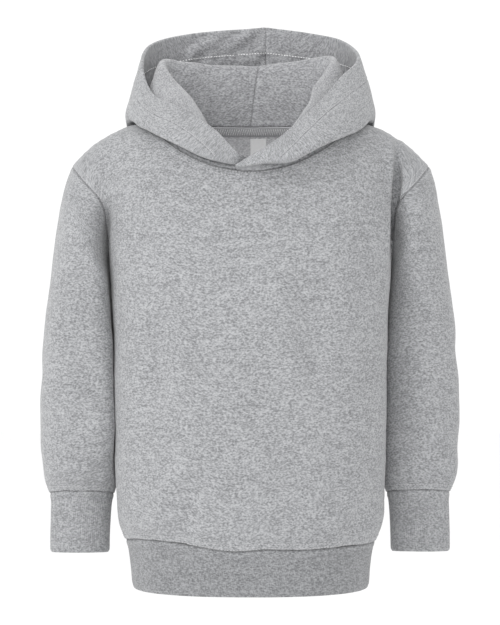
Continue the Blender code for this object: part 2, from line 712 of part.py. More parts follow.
def trim_piece(body, name, xs, zs, thickness, look):
    outer = np.array([[on_back_inside(body, x, z, SEAM_GAP + thickness) for x in xs] for z in zs])
    inner = np.array([[on_back_inside(body, x, z, SEAM_GAP) for x in xs] for z in zs])
    make_object(name, outer, inner, False, look)


def neck_trim(body):
    shares = np.linspace(-1, 1, TAPE_COLUMNS + 1)
    tape_xs = TAPE_HALF_LENGTH * np.arcsin(shares) / (pi / 2)
    tape_zs = np.linspace(TAPE_BOTTOM, TAPE_TOP, 4)
    trim_piece(body, "neck_tape", tape_xs, tape_zs, TAPE_THICKNESS, TAPE_GREY)
    label_xs = np.linspace(LABEL_LEFT, LABEL_RIGHT, 4)
    label_zs = np.linspace(LABEL_BOTTOM, LABEL_TOP, 6)
    trim_piece(body, "label", label_xs, label_zs, LABEL_THICKNESS, LABEL_WHITE)


def main():
    for obj in list(bpy.data.objects):
        bpy.data.objects.remove(obj, do_unlink=True)
    body = body_surfaces()
    body_panels(body)
    sleeves(body)
    cuffs()
    waistband()
    hood_halves(body)
    neck_trim(body)


main()
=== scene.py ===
"""A toddler's pullover hoodie in heather-grey fleece, filled out as if worn, with the hood down.

The file is laid out as a Blender add-on and is run as a script. Each cloth piece is a thin shell
on the form of its solid: a smooth grid of points worked out from the garment's own tables, in
millimetres, then creased, puckered at its seams and given its thickness. Sewing is made by
Geometry Nodes along lines read from those grids.
"""

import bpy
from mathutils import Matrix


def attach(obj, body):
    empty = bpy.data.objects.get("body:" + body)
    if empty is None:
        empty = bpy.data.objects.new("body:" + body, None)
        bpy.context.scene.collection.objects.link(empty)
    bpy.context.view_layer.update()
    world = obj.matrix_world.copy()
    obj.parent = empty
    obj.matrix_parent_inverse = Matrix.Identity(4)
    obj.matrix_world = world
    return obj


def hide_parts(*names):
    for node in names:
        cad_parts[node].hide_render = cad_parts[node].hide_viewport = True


bl_info = {
    "name": "Toddler Fleece Hoodie",
    "version": (1, 0, 0),
    "blender": (4, 5, 0),
    "location": "3D View > Sidebar > Hoodie",
    "description": "Cloth, rib, sewing and a plain stage for a toddler's hooded pullover",
    "category": "Object",
}

from functools import lru_cache
from math import cos, pi, sin, sqrt

import bpy
import numpy as np
from bpy.props import FloatProperty, FloatVectorProperty, PointerProperty
from mathutils import Vector, kdtree, noise

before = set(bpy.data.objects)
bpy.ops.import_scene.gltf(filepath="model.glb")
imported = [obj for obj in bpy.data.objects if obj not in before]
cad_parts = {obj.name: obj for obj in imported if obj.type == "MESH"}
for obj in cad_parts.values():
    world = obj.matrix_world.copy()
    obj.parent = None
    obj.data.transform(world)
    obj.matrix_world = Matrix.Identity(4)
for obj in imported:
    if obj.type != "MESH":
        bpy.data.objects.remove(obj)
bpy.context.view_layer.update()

METRES_PER_MM = 0.001
BODY_NAME = "root"
FRONT, BACK = -1, 1


def table(columns, *rows):
    """Rows of values with the columns' names."""
    return [dict(zip(columns.split(), row)) for row in rows]


# ---- the garment's tables, in millimetres: the same form as its solids
FLEECE = 2.0  # one layer of fleece
RIB = 3.0  # doubled rib
REST_GAP = 1.6  # between a sleeve and the body beside it

NECK_COLUMNS = 16
SHOULDER_COLUMNS = 12
SIDE_ROWS = 20
ARMHOLE_ROWS = 20
ROW_EVENNESS = 0.35
SLEEVE_ROWS = 28
BAND_COLUMNS = 4 * (NECK_COLUMNS + SHOULDER_COLUMNS)
CUFF_COLUMNS = 40
HOOD_STATIONS = 40
HOOD_ROWS = 48

# ---- body: horizontal sections, from the waistband's seam up to the shoulder
HEM_Z = -387.0
UNDERARM_Z = -126.0
FRONT_NECK_Z = -54.0
SIDE_SHARE = 0.72  # of the way up a panel, the side seam ends at the underarm
SIDE_BEND = 5  # how soon, going inwards, a panel's rows forget the shape of its side
TOP_BEND = 4  # and, going down, the shape of its neck and shoulder
NECK_SHARE = 8 / 14  # of the way across the top of a panel, the neck ends
SIDE_NECK_X = 93.0
SIDE_NECK_Z = -1.5
NECK_ROUNDNESS = 1.5
SHOULDER_END_X = 164.5
SHOULDER_ROUNDING = 75.0  # height over which the body closes in to the shoulder line
ROUNDING_POWER = 2.2
BACK_BOXINESS = 2.25

BODY = table(
    "z half_width front back boxiness middle",
    (-387.0, 114.2, 77.0, 73.0, 2.3, 0.0), (-374.0, 119.6, 82.0, 77.0, 2.35, 0.0),
    (-340.0, 122.6, 85.0, 79.0, 2.4, 0.0), (-260.0, 124.6, 86.0, 80.0, 2.4, 0.0),
    (-180.0, 126.4, 85.0, 80.0, 2.6, 1.0), (-126.0, 129.5, 83.0, 80.0, 2.9, 2.0),
    (-60.0, 129.5, 77.0, 77.0, 2.9, 6.0), (0.0, 129.0, 72.0, 78.0, 2.6, 6.0),
)
SHOULDER_LINE = table(
    "x z",
    (0.0, 17.0), (60.0, 10.0), (93.0, -1.5), (113.6, -7.6), (128.8, -14.9), (144.0, -24.5),
    (156.4, -35.3), (164.5, -44.5),
)
ARMHOLE = table(
    "x z",
    (129.3, -126.0), (130.6, -112.0), (131.8, -98.0), (132.8, -86.0), (136.5, -76.5),
    (143.0, -69.0), (152.5, -59.0), (164.5, -44.5),
)
# The two widest soft folds of the front. "lean" is the fall of its top towards the middle, as
# millimetres of x for each millimetre of z.
FRONT_FOLDS = table(
    "x z lean half_length half_width depth",
    (-72.0, -295.0, -0.18, 62.0, 15.0, 3.0), (54.0, -218.0, -0.25, 45.0, 13.0, 2.4),
)
# The cloth over the upper arm, and the crease between it and the chest.
ARM_DEPTH = 46.0
ARM_FADE = 50.0
ARM_SHARE = 0.6  # of the depth over the arm, the most that the crease takes
CREASE_X = 131.0
CREASE_TOP_Z = -36.0
CREASE_FULL_Z = -76.0
CREASE = {
    +1: dict(depth=15.0, width=7.0),
    -1: dict(depth=4.0, width=9.0),
}

# ---- sleeves: sections from the armhole down, each between an inner and an outer point
SLEEVE = table(
    "inner_x inner_z outer_x outer_z middle depth",
    (130.6, -134.0, 170.2, -61.0, 10.0, 46.0), (129.0, -148.0, 177.0, -94.0, 15.0, 44.0),
    (127.0, -170.0, 184.6, -146.0, 20.0, 41.0), (123.8, -205.0, 190.8, -196.0, 25.0, 38.0),
    (121.5, -250.0, 194.4, -249.0, 28.0, 36.0), (120.6, -295.0, 194.2, -295.0, 27.0, 34.5),
    (121.5, -328.0, 191.6, -330.0, 24.0, 32.0), (126.6, -346.5, 185.6, -346.5, 21.0, 22.0),
)
SLEEVE_SETBACK = {+1: 1.0, -1: 0.55}  # how far behind the side seam each sleeve hangs
SLEEVE_TILT = 0.2  # the forearm leans forward, so its front edge is higher
TILT_TOP_Z = -150.0  # where that begins
TILT_HEIGHT = 190.0  # and over how much height it grows

CUFF = table(
    "z inner_x outer_x depth middle",
    (-346.8, 126.9, 185.3, 21.0, 21.0), (-352.0, 128.0, 184.8, 20.0, 20.6),
    (-365.0, 129.2, 184.9, 19.0, 19.6), (-385.0, 130.0, 185.2, 18.4, 18.2),
    (-397.0, 130.3, 185.2, 18.0, 17.4), (-399.6, 131.2, 184.3, 17.2, 17.3),
)
WAISTBAND = table(
    "z half_width front back",
    (-387.3, 114.1, 76.9, 72.9), (-392.0, 112.8, 75.6, 71.8), (-401.0, 111.2, 74.4, 70.8),
    (-413.0, 109.8, 73.2, 70.0), (-425.0, 108.8, 72.4, 69.4), (-429.5, 107.6, 71.2, 68.4),
)
BAND_BOXINESS = 2.3
CUFF_TILT_LEFT = 0.4  # of the sleeve's tilt, at the cuff's open end

# ---- hood: stations round the neck, from the tip at the front to the centre seam at the back.
# From the neck seam the cloth rises to a ridge, rolls out and down to the bottom of the bag, and
# comes up outside it to the rim of the face opening. Each row has its place around the neck seam,
# from 0 at the front to 1 at the back, and the points of the ridge, of the bag and of the rim.
HOOD_LEFT = [
    (-0.041, -13, -74, -50.5, -13, -75.5, -50.5, -13, -77.5, -49.6),
    (0.041, 12, -77, -43.5, 12, -90, -48.5, 14, -86, -34),
    (0.123, 36, -60, -16, 36, -92, -46, 38, -69, -15),
    (0.232, 53, -26, 9, 65, -83, -32, 64, -40, 12),
    (0.376, 60, 3, 29.5, 96, -49, -17, 82, -7, 35),
    (0.50, 76, 31, 54, 115, 5, -3, 101.5, 32, 59),
    (0.70, 75, 50, 63, 107, 68, -40, 91, 75, 80),
    (0.85, 48, 65, 61, 66, 94, -68, 60, 98, 91),
    (1.0, 8, 72, 56, 12, 104, -78, 15, 112, 99),
]
HOOD_RIGHT = [
    (0.004, -1.5, -66.8, -48.5, -2, -67.2, -46, -2, -68.5, -43.5),
    (0.045, -13, -69, -48, -14, -73.5, -47.5, -13, -76, -37.5),
    (0.123, -34, -55, -19, -38, -84, -43.5, -32, -66, -18),
    (0.232, -53, -24, 13, -66, -77, -30, -64, -46, 4),
    (0.376, -69, 2, 33, -97, -46, -13, -89, -14, 20),
    (0.50, -81, 24, 52, -114.5, 5, -4, -101.5, 27, 51),
    (0.70, -78, 45, 59, -106, 66, -40, -96, 67, 76),
    (0.85, -46, 63, 57, -58, 94, -68, -57, 98, 91),
    (1.0, 8, 72, 56, 12, 104, -78, 15, 112, 99),
]
HOOD_ROLL = 6.0  # half the width of the roll along the ridge
ROLL_SHARE = 0.25  # and at most this share of the way out to the bag
BAG_FOLD = 24.0  # half the width of the bag's bottom
FOLD_SHARE = 0.45  # and at most this share of the way out
FOLD_REACH = 0.6  # or this share of the way from the neck
BAG_LIP = 0.12  # of that half width, the bottom's outer edge
BELLY = 0.05  # how far the outer layer stands out, for its height
OUTSIDE = 0.45  # of the way along a station, where the cloth has rolled over
HOOD_HEM = 25.0  # the turned hem round the face opening
HEM_EXTRA = 1.6  # its second layer, pressed flat
HEM_START = 60.0  # a station longer than this has the hem, and it is full at twice this
ABOVE_NECK = (0.0, -5.0, 30.0)
NECK_STAND = 2.0  # the hood leaves the neck seam in line with the body
HOOD_REST = 3.4  # from the body's outside to the middle of the hood's cloth, where it lies on it
UNDERLAP = 3.0  # the right half's tip lies this far inside the left half's
UNDERLAP_END = 0.075  # as a place around the neck seam
UNDERLAP_FADE = 0.03

# ---- trim inside the back neck
TAPE_TOP, TAPE_BOTTOM = -2.4, -10.4
TAPE_HALF_LENGTH = 78.0
TAPE_THICKNESS = 1.0
LABEL_LEFT, LABEL_RIGHT = 0.0, 15.3
LABEL_TOP, LABEL_BOTTOM = -12.9, -32.9
LABEL_THICKNESS = 0.6

# ---- how the cloth behaves, in millimetres
FRONT_DETAIL, BACK_DETAIL, SLEEVE_DETAIL, HOOD_DETAIL, RING_DETAIL = 4, 3, 4, 4, 3
CUFF_DETAIL = 6
NEAR_EDGE = (0.05, 0.1, 0.15, 0.2, 0.3, 0.36, 0.43)  # of a cell, for the dip at a seam
BAND_ROWS = 6  # for each row of the waistband's and cuffs' tables
END_STEPS = 4  # rows round a free edge
SEAM_DIP, SEAM_DIP_WIDTH = 0.6, 1.2
SEAM_BAND, SEAM_BAND_AT, SEAM_BAND_WIDTH = 0.3, 3.4, 2.0
PUCKER_REACH = 6.5
PUCKER_WAVES = ((6.5, 0.5), (10.3, 0.6), (16.9, 0.5), (29.0, 0.5))  # length, and share of depth
PUCKER_WANDER, WANDER_LENGTH = 1.3, 31  # how unevenly the waves follow each other
PUCKER_SEEDS = {  # where the waves of each piece's first seam start
    "front_panel": 1.0, "back_panel": 4.0, "sleeve_left": 7.7, "sleeve_right": 8.4,
    "cuff_left": 6.3, "cuff_right": 7.0, "waistband": 6.3, "hood_left": 3.0, "hood_right": 1.0,
}
NEXT_SEAM, NEXT_WAVE = 1.7, 2.1  # and how its other seams and waves differ from them
SHOULDER_SHARE = 0.35  # how high the cloth stands beside a crease, for its depth
SHOULDER_AT, SHOULDER_SPREAD = 1.9, 0.6  # and where, in the crease's half widths
LOFT_WAVES = {"panel": (38.0, 13.0), "tube": (34.0, 12.0), "hood": (30.0, 11.0)}  # long, short
LOFT_SEEDS = (3, 5)
FINE_LOFT = 0.3  # how high the loft's short waves are, for its long ones
RIB_LOFT = 0.35  # how uneven rib is, for fleece
TRIM_TOP_Z, TRIM_FADE = -45.0, 30.0  # the back panel is even down to here, under its trim
NECK_LOFT_FADE = 14.0  # above the neck seam, where the hood's loft is full
HEM_EDGE = 1.6  # the width over which the hood hem's second layer comes in
HEM_STEP_FACE, HEM_STEP_BACK = 0.5, 0.3  # how far each side is pressed in along the hem's edge
BACK_SEAM_SHARE = 0.3  # how much of its seams' relief shows on the hood's inside
HEM_START_SHARE = 0.4  # of the full hem, where its stitches start
TRIM_GAP = 0.1  # between the tape or the label and the back panel
ROUND_EDGE = 0.7  # of half a wall, how round the rib's free edges are
TRIM_EDGE = 0.8  # and those of the trim and of the hood's rim
TAPE_GRID, LABEL_GRID = (81, 13), (25, 33)  # points across and up
ZIGZAG_LIFT = 0.2  # above the tape
ZIGZAG_SHORT = 1.0  # from each end of the tape
ZIGZAG_POINTS = 160
ZIGZAG = {"Pitch": 0.0022, "Width": 0.0072, "Thread": 0.0011}  # metres
STITCH_LIFT = 0.15  # threads lie this high on the cloth
FIRST_ROW, SECOND_ROW = 1.4, 5.8  # the two rows of a topstitched seam, from its edge
REACH_IN = 60  # points of a row that a sewing line is looked for in
STITCH_SHARE = 0.84  # of the pitch, how much of a stitch lies on top
PRESSED_THREAD = 2.6  # a stitch's width, over half its height
NOISE_SHIFT = (3.7, 1.9, 5.3)  # from one random rise and fall to the next
FAR = 99.0
HEM_SHADE = 0.5  # the turned hem's stitched line gets the painted shade of a seam at this distance

# Creases, each one line: where its middle is, how far it leans from upright in degrees, its half
# length and half width, its depth (a ridge's is below nought), and how far its ends bend aside.
CREASE_COLUMNS = ("across", "up", "slant", "half_length", "half_width", "depth", "bend")
CREASES = {
    "front_panel": {
        "front": [
            (-88, -246, 13, 64, 13, 3.6, -4), (-72, -333, 28, 40, 10, -3.2, 0),
            (-56, -364, 22, 22, 8, 2.6, 0), (59, -182, -7, 42, 16, 3.0, 3),
            (104, -356, 38, 34, 10, 3.6, 3), (-34, -122, -32, 52, 17, 1.9, 5),
            (84, -92, 24, 48, 15, -1.8, 0), (22, -290, -22, 48, 15, 1.7, -5),
            (131.5, -77, 3, 55, 3.2, 7.0, 0),
        ],
    },
    "back_panel": {
        "back": [
            (52, -300, -12, 60, 12, 3.4, 4), (34, -352, -26, 32, 9, -2.4, 0),
            (-64, -246, 14, 56, 13, 3.0, -4), (-22, -140, 22, 46, 16, 2.0, 3),
            (-102, -354, -34, 30, 10, 3.0, -3), (86, -168, 10, 42, 14, 2.2, 3),
            (4, -212, -65, 34, 12, -1.6, 4),
        ],
    },
    "sleeve_left": {
        "front": [
            (150, -205, 38, 28, 9, 1.7, 3), (166, -318, 66, 20, 6, 1.5, 2),
            (142, -292, -56, 20, 7, 1.6, 2),
        ],
        "back": [(152, -228, -42, 32, 10, 2.8, 3), (168, -286, 50, 28, 8, 2.2, 2)],
        "left": [(14, -222, 55, 28, 12, 1.0, 3), (24, -304, -60, 24, 10, 0.8, 2)],
    },
    "sleeve_right": {
        "front": [
            (-148, -236, -34, 34, 9, 1.9, 3), (-164, -306, -62, 22, 6, 1.6, 2),
            (-136, -322, 50, 16, 6, 1.4, 2),
        ],
        "back": [(-150, -216, 40, 30, 10, 2.8, 3), (-170, -292, -48, 30, 8, 2.3, 2)],
        "right": [(10, -238, -52, 28, 12, 1.1, 3), (20, -312, 58, 22, 10, 0.8, 2)],
    },
    "hood_left": {
        "neck": [(64, 34, 24, 30, 9, 1.0, 2), (118, 150, -30, 34, 10, 1.3, 3)],
        "rim": [(22, -29, 40, 10, 3.4, 1.3, 1), (56, -30, 48, 13, 4.0, 1.4, 1)],
    },
    "hood_right": {
        "neck": [(70, 38, -24, 30, 9, 1.1, 2), (112, 146, 30, 34, 10, 1.4, 3)],
        "rim": [
            (10, -28, -42, 9, 3.4, 3.4, 1), (21, -29, -50, 10, 3.5, 4.0, 1),
            (33, -28, -46, 10, 3.4, 3.6, -1), (45, -30, -54, 11, 3.6, 3.8, 1),
            (59, -30, -50, 12, 4.0, 3.2, 1), (78, -26, -40, 14, 4.5, 2.8, 2),
            (30, -12, -64, 20, 4.2, 2.8, 2), (64, -14, -72, 22, 4.6, 2.6, 2),
        ],
    },
}
# The hem's seam rises and falls across the front as the cloth hangs: x, and how far it is up.
HEM_WAVE = [(-124, 1.5), (-104, 4.4), (-80, 5.2), (-50, 2.0), (-17, -2.4), (12, -0.8), (45, -1.5),
            (82, -0.4), (124, 0.0)]
HEM_WAVE_HEIGHT = 20.0  # above and below the seam, how far the wave is felt
HEM_WAVE_DEPTH = 40.0  # in front of the middle, where the wave is full
# The wearer's right sleeve lies fuller and further forward against the body.
PRESSED_TOP_Z = -124.0
PRESSED_FADE, CUFF_FADE = 24.0, 50.0  # below that height and above the cuff, how fast it comes in
PRESSED_FORWARD = 13.0
PRESSED_FULLNESS = 0.42  # power of the section's sine and cosine in front; 1 is an ellipse


# ---- finishes, in millimetres on the cloth
GRAINS = (  # across, up, the noise's detail and its share of the heather
    (2.0, 1.3, 1.0, 0.78), (15.0, 3.6, 2.0, 0.17), (55.0, 40.0, 1.0, 0.05),
)
FACE_LOOPS, NAP_LOOPS = (0.7, 0.5), (1.1, 0.9)  # how large the loops and the raised fibres are
HEATHER_SPREAD = 0.175  # how far from the middle of the noise its two colours are full
NOISE_OFFSET = (0.3, 0.3, 0.37)  # off the noise's own grid, where it would show level lines
SEAM_REACH = 10.0  # from a seam, where its painted shade ends
# Painted shade in a seam and a painted highlight beside it: the cloth's brightness for a share of
# SEAM_REACH
PAINTED_SEAM_SHADING = ((0.0, 0.58), (0.06, 0.62), (0.16, 0.85), (0.34, 0.85), (0.62, 0.8), (1.0, 0.8))
FULL_SHADE = 0.8  # what stands for the cloth's own colour there
WAVE_REPEAT = 20 / (2 * pi)  # bands of a wave texture for each unit, at a scale of 1
COURSE = 1.0  # the tape's knitted rows
SHEEN_ROUGHNESS = 0.6

# ---- stage, in metres
FLOOR_RADIUS, FLOOR_SIDES = 8.0, 96
SENSOR_HEIGHT = 24.0  # millimetres
VIEW_CENTRE_X, VIEW_CENTRE_Z = -0.00046, -0.179
SOFT_LIGHTS = {  # each disc's place and width
    "side": ((-1.5, -1.2, 1.0), 1.1),
    "front": ((0.0, -2.2, 0.18), 0.8),
    "low": ((0.0, -2.0, -0.45), 1.0),
}


# ---- small geometry tools
def clamp(value):
    return min(max(value, 0.0), 1.0)


def bowed(share, power):
    """Height at a share of the way across a rounded box, from 1 in the middle to 0 at its edge."""
    return max(1 - share**power, 0.0) ** (1 / power)


def smooth_table(rows, key, column, at):
    """Reads a column between the rows of a table, with a smooth curve through them."""
    keys = [row[key] for row in rows]
    values = [row[column] for row in rows]
    at = min(max(at, keys[0]), keys[-1])
    i = min(max(np.searchsorted(keys, at) - 1, 0), len(keys) - 2)
    width = keys[i + 1] - keys[i]
    t = (at - keys[i]) / width
    slopes = np.gradient(values, keys)
    start, end = slopes[i] * width, slopes[i + 1] * width
    return (
        values[i] * (2 * t**3 - 3 * t**2 + 1)
        + start * (t**3 - 2 * t**2 + t)
        + values[i + 1] * (3 * t**2 - 2 * t**3)
        + end * (t**3 - t**2)
    )


def through(points, t):
    """The point at t (0 to 1) of a smooth curve through a list of points, arrays or numbers."""
    points = np.asarray(points, float)
    last = len(points) - 1
    place = clamp(t) * last
    i = min(int(place), last - 1)
    f = place - i
    before = points[i - 1] if i > 0 else 2 * points[0] - points[1]
    after = points[i + 2] if i + 2 <= last else 2 * points[last] - points[last - 1]
    return 0.5 * (
        2 * points[i]
        + (points[i + 1] - before) * f
        + (2 * before - 5 * points[i] + 4 * points[i + 1] - after) * f**2
        + (3 * points[i] - before - 3 * points[i + 1] + after) * f**3
    )


def rolled(controls, t):
    """The point at t (0 to 1) of a quadratic B-spline that starts and ends on its end controls."""
    controls = np.asarray(controls, float)
    spans = len(controls) - 2
    place = clamp(t) * spans
    i = min(int(place), spans - 1)
    f = place - i
    start = controls[0] if i == 0 else (controls[i] + controls[i + 1]) / 2
    end = controls[-1] if i == spans - 1 else (controls[i + 1] + controls[i + 2]) / 2
    return start * (1 - f) ** 2 + 2 * controls[i + 1] * f * (1 - f) + end * f**2


def unit(vector):
    return vector / np.maximum(np.linalg.norm(vector, axis=-1, keepdims=True), 1e-9)


def grid_normals(grid, closed):
    """The outward direction at each point of a grid of rows and columns."""
    along = np.gradient(grid, axis=0)
    if closed:
        across = np.roll(grid, -1, axis=1) - np.roll(grid, 1, axis=1)
    else:
        across = np.gradient(grid, axis=1)
    return unit(np.cross(across, along))


# ---- body
def shoulder_z(x):
    return smooth_table(SHOULDER_LINE, "x", "z", abs(x))


def fold_depth(x, z):
    """How deep the front's soft folds are at x, z."""
    depth = 0.0
    for fold in FRONT_FOLDS:
        along = (z - fold["z"]) / fold["half_length"]
        across = (x - fold["x"] - fold["lean"] * (z - fold["z"])) / fold["half_width"]
        depth += fold["depth"] * np.exp(-(along**2) - across**2)
    return depth


def body_section(z, face):
    """Half width, middle, depth and boxiness of the body's section at z, on one face."""
    depth = "front" if face == FRONT else "back"
    parts = [smooth_table(BODY, "z", part, z) for part in ("half_width", "middle", depth)]
    boxiness = smooth_table(BODY, "z", "boxiness", z) if face == FRONT else BACK_BOXINESS
    return *parts, boxiness


def body_y(x, z, face):
    """How far forward (face -1) or back (face 1) the body's cloth lies at x, z."""
    half_width, middle, depth, boxiness = body_section(z, face)
    torso = depth * bowed(min(abs(x) / half_width, 1.0), boxiness)
    over_arm = ARM_DEPTH * clamp((z - UNDERARM_Z) / ARM_FADE)
    fall = clamp((CREASE_TOP_Z - z) / (CREASE_TOP_Z - CREASE_FULL_Z))
    crease = CREASE[1 if x >= 0 else -1]
    groove = min(crease["depth"] * fall, ARM_SHARE * over_arm)
    over_arm -= groove * np.exp(-(((abs(x) - CREASE_X) / crease["width"]) ** 2))
    cloth = 0.5 * (torso + over_arm + sqrt((torso - over_arm) ** 2 + crease["width"] ** 2))
    if z <= UNDERARM_Z:
        cloth = torso
    if face == FRONT:
        cloth -= fold_depth(x, z)
    below = clamp((shoulder_z(x) - z) / SHOULDER_ROUNDING)
    return middle + face * cloth * bowed(1 - below, ROUNDING_POWER)


def body_out(x, z, face):
    """The outward direction of the body's cloth at x, z."""
    step = 0.4
    across = (body_y(x + step, z, face) - body_y(x - step, z, face)) / (2 * step)
    up = (body_y(x, z + step, face) - body_y(x, z - step, face)) / (2 * step)
    return face * unit(np.array([-across, 1.0, -up]))


def spread(t):
    """Puts columns and rows closer together towards an edge that rounds away."""
    return sin(t * pi / 2)


def side_edge(v):
    """x and z of a panel's side seam and armhole, from the hem (0) to the shoulder's end (1)."""
    if v <= SIDE_SHARE:
        z = HEM_Z + (UNDERARM_Z - HEM_Z) * v / SIDE_SHARE
        return np.array([smooth_table(BODY, "z", "half_width", z), z])
    return through([(p["x"], p["z"]) for p in ARMHOLE], (v - SIDE_SHARE) / (1 - SIDE_SHARE))


def neck_z(x, face):
    """Height of the neck edge at x."""
    drop = FRONT_NECK_Z - SIDE_NECK_Z if face == FRONT else 0.0
    return SIDE_NECK_Z + drop * sqrt(1 - (x / SIDE_NECK_X) ** 2) ** NECK_ROUNDNESS


def top_edge(u, face):
    """x and z of a panel's neck edge and shoulder line, from the centre (0) to the sleeve (1)."""
    if u <= NECK_SHARE:
        x = SIDE_NECK_X * sin(pi / 2 * u / NECK_SHARE)
        return np.array([x, neck_z(x, face)])
    start, end = spread(NECK_SHARE), 1.0
    x = SIDE_NECK_X + (SHOULDER_END_X - SIDE_NECK_X) * (spread(u) - start) / (end - start)
    return np.array([x, shoulder_z(x)])


def panel_xz(u, v, face):
    """x and z inside a panel: an even spread that bends to its side and to its top near them."""
    g = spread(u)
    bottom = np.array([side_edge(0)[0] * g, HEM_Z])
    top = (1 - g) * top_edge(0, face) + g * side_edge(1)
    side_shape = side_edge(v) - (1 - v) * side_edge(0) - v * side_edge(1)
    top_shape = top_edge(u, face) - top
    return (1 - v) * bottom + v * top + g**SIDE_BEND * side_shape + v**TOP_BEND * top_shape


def armhole_share(t):
    """Rows of the armhole are closer together towards the shoulder."""
    return SIDE_SHARE + (1 - SIDE_SHARE) * (ROW_EVENNESS * t + (1 - ROW_EVENNESS) * spread(t))


def panel_grid(face):
    shares = [SIDE_SHARE * r / SIDE_ROWS for r in range(SIDE_ROWS)]
    shares += [armhole_share(r / ARMHOLE_ROWS) for r in range(ARMHOLE_ROWS + 1)]
    half = NECK_COLUMNS + SHOULDER_COLUMNS
    grid = np.zeros((len(shares), 2 * half + 1, 3))
    for r, v in enumerate(shares):
        for c in range(2 * half + 1):
            across = c / half - 1
            side = 1 if across >= 0 else -1
            x, z = panel_xz(abs(across), v, face)
            grid[r, c] = (side * x, body_y(side * x, z, face), z)
    return grid if face == FRONT else grid[:, ::-1]


# ---- the pieces' own grids, at twice the solids' count
@lru_cache(maxsize=None)
def body_surfaces():
    """The outer grid and the outward directions of the front and of the back."""
    front, back = panel_grid(FRONT), panel_grid(BACK)
    front_out = np.array([[body_out(p[0], p[2], FRONT) for p in row] for row in front])
    back_out = np.array([[body_out(p[0], p[2], BACK) for p in row] for row in back])
    # Front and back share one direction along the side seams and along the shoulders.
    columns = 2 * (NECK_COLUMNS + SHOULDER_COLUMNS)
    shared = [((r, c), (r, columns - c)) for r in range(SIDE_ROWS + 1) for c in (0, columns)]
    shoulders = [*range(SHOULDER_COLUMNS + 1), *range(columns - SHOULDER_COLUMNS, columns + 1)]
    shared += [((-1, c), (-1, columns - c)) for c in shoulders]
    for at_front, at_back in shared:
        both = unit(front_out[at_front] + back_out[at_back])
        front_out[at_front] = both
        back_out[at_back] = both
    return {FRONT: (front, front_out), BACK: (back, back_out)}


def edge_direction(before, after, out, towards):
    """The direction that leaves a panel at its edge, square to the edge and in line with it."""
    leaving = unit(np.cross(after - before, out))
    return leaving if np.dot(leaving, towards) > 0 else -leaving


def between(row, column):
    """A point between two columns of a grid's row."""
    return through(row, column / (len(row) - 1))


def clear_of_body(point, gap):
    """Moves a point that would lie in the body's cloth out to the gap from it."""
    x, y, z = point
    if not HEM_Z < z < UNDERARM_Z:
        return point
    face = FRONT if y < smooth_table(BODY, "z", "middle", z) else BACK
    half_width, middle, depth, boxiness = body_section(z, face)
    edge = half_width * bowed(min(abs(y - middle) / depth, 1.0), boxiness) + gap
    return np.array([(1 if x >= 0 else -1) * max(abs(x), edge), y, z])


def armhole_place(side, step):
    """A point of the armhole's loop and its outward direction."""
    step %= 2 * ARMHOLE_ROWS
    face = FRONT if step <= ARMHOLE_ROWS else BACK
    row = SIDE_ROWS + abs(ARMHOLE_ROWS - step)
    grid, out = body_surfaces()[face]
    column = -1 if side * face < 0 else 0
    return grid[row, column], out[row, column]


def sleeve_section(row, side, turn):
    """A point of one sleeve section; turn runs from the outer side over the front to the inner."""
    angle = 2 * pi * turn
    outer = np.array([row["outer_x"], 0.0, row["outer_z"]])
    inner = np.array([row["inner_x"], 0.0, row["inner_z"]])
    middle = row["middle"] * SLEEVE_SETBACK[side]
    forwards, outwards = sin(angle), cos(angle)
    if side < 0 and forwards > 0:
        above_cuff = clamp((inner[2] - SLEEVE[-1]["inner_z"]) / CUFF_FADE)
        felt = above_cuff * clamp((PRESSED_TOP_Z - inner[2]) / PRESSED_FADE)
        if outwards < 0:
            power = 1 + (PRESSED_FULLNESS - 1) * felt
            forwards, outwards = forwards**power, -((-outwards) ** power)
        middle -= PRESSED_FORWARD * felt * forwards
    lean = forwards * row["depth"]
    point = (outer + inner) / 2 + (outer - inner) / 2 * outwards
    reach = clamp((TILT_TOP_Z - row["outer_z"]) / TILT_HEIGHT)
    point += np.array([0.0, middle - lean, lean * SLEEVE_TILT * reach])
    point[0] *= side
    return point


@lru_cache(maxsize=None)
def sleeve_surface(side):
    """A sleeve's outer grid from the cuff's seam up, and its outward directions."""
    columns = 2 * ARMHOLE_ROWS
    rings = np.zeros((SLEEVE_ROWS + 1, columns, 3))
    for c in range(columns):
        stations = [armhole_place(side, c)[0]]
        stations += [sleeve_section(row, side, c / columns) for row in SLEEVE]
        for k in range(SLEEVE_ROWS + 1):
            point = through(stations, k / SLEEVE_ROWS)
            rings[k, c] = point if k == 0 else clear_of_body(point, REST_GAP)
    top_out = np.array([armhole_place(side, c)[1] for c in range(columns)])
    grid = rings[::-1, ::-1] if side > 0 else rings[::-1]
    out = grid_normals(grid, True)
    out[-1] = top_out[::-1] if side > 0 else top_out
    return grid, out


def cuff_surface(side):
    """A cuff's outer grid from its mouth up to the sleeve."""
    rows = []
    for row in reversed(CUFF):
        centre = (row["inner_x"] + row["outer_x"]) / 2
        half = (row["outer_x"] - row["inner_x"]) / 2
        up = (row["z"] - CUFF[-1]["z"]) / (CUFF[0]["z"] - CUFF[-1]["z"])
        tilt = SLEEVE_TILT * (CUFF_TILT_LEFT + (1 - CUFF_TILT_LEFT) * up)
        ring = []
        for c in range(CUFF_COLUMNS):
            angle = 2 * pi * c / CUFF_COLUMNS
            lean = sin(angle) * row["depth"]
            y = row["middle"] * SLEEVE_SETBACK[side] - lean
            ring.append((side * (centre + half * cos(angle)), y, row["z"] + lean * tilt))
        rows.append(ring)
    grid = np.array(rows)
    grid = grid[:, ::-1] if side > 0 else grid
    sleeve, sleeve_out = sleeve_surface(side)
    grid[-1] = sleeve[0]
    out = grid_normals(grid, True)
    out[-1] = sleeve_out[0]
    return grid, out


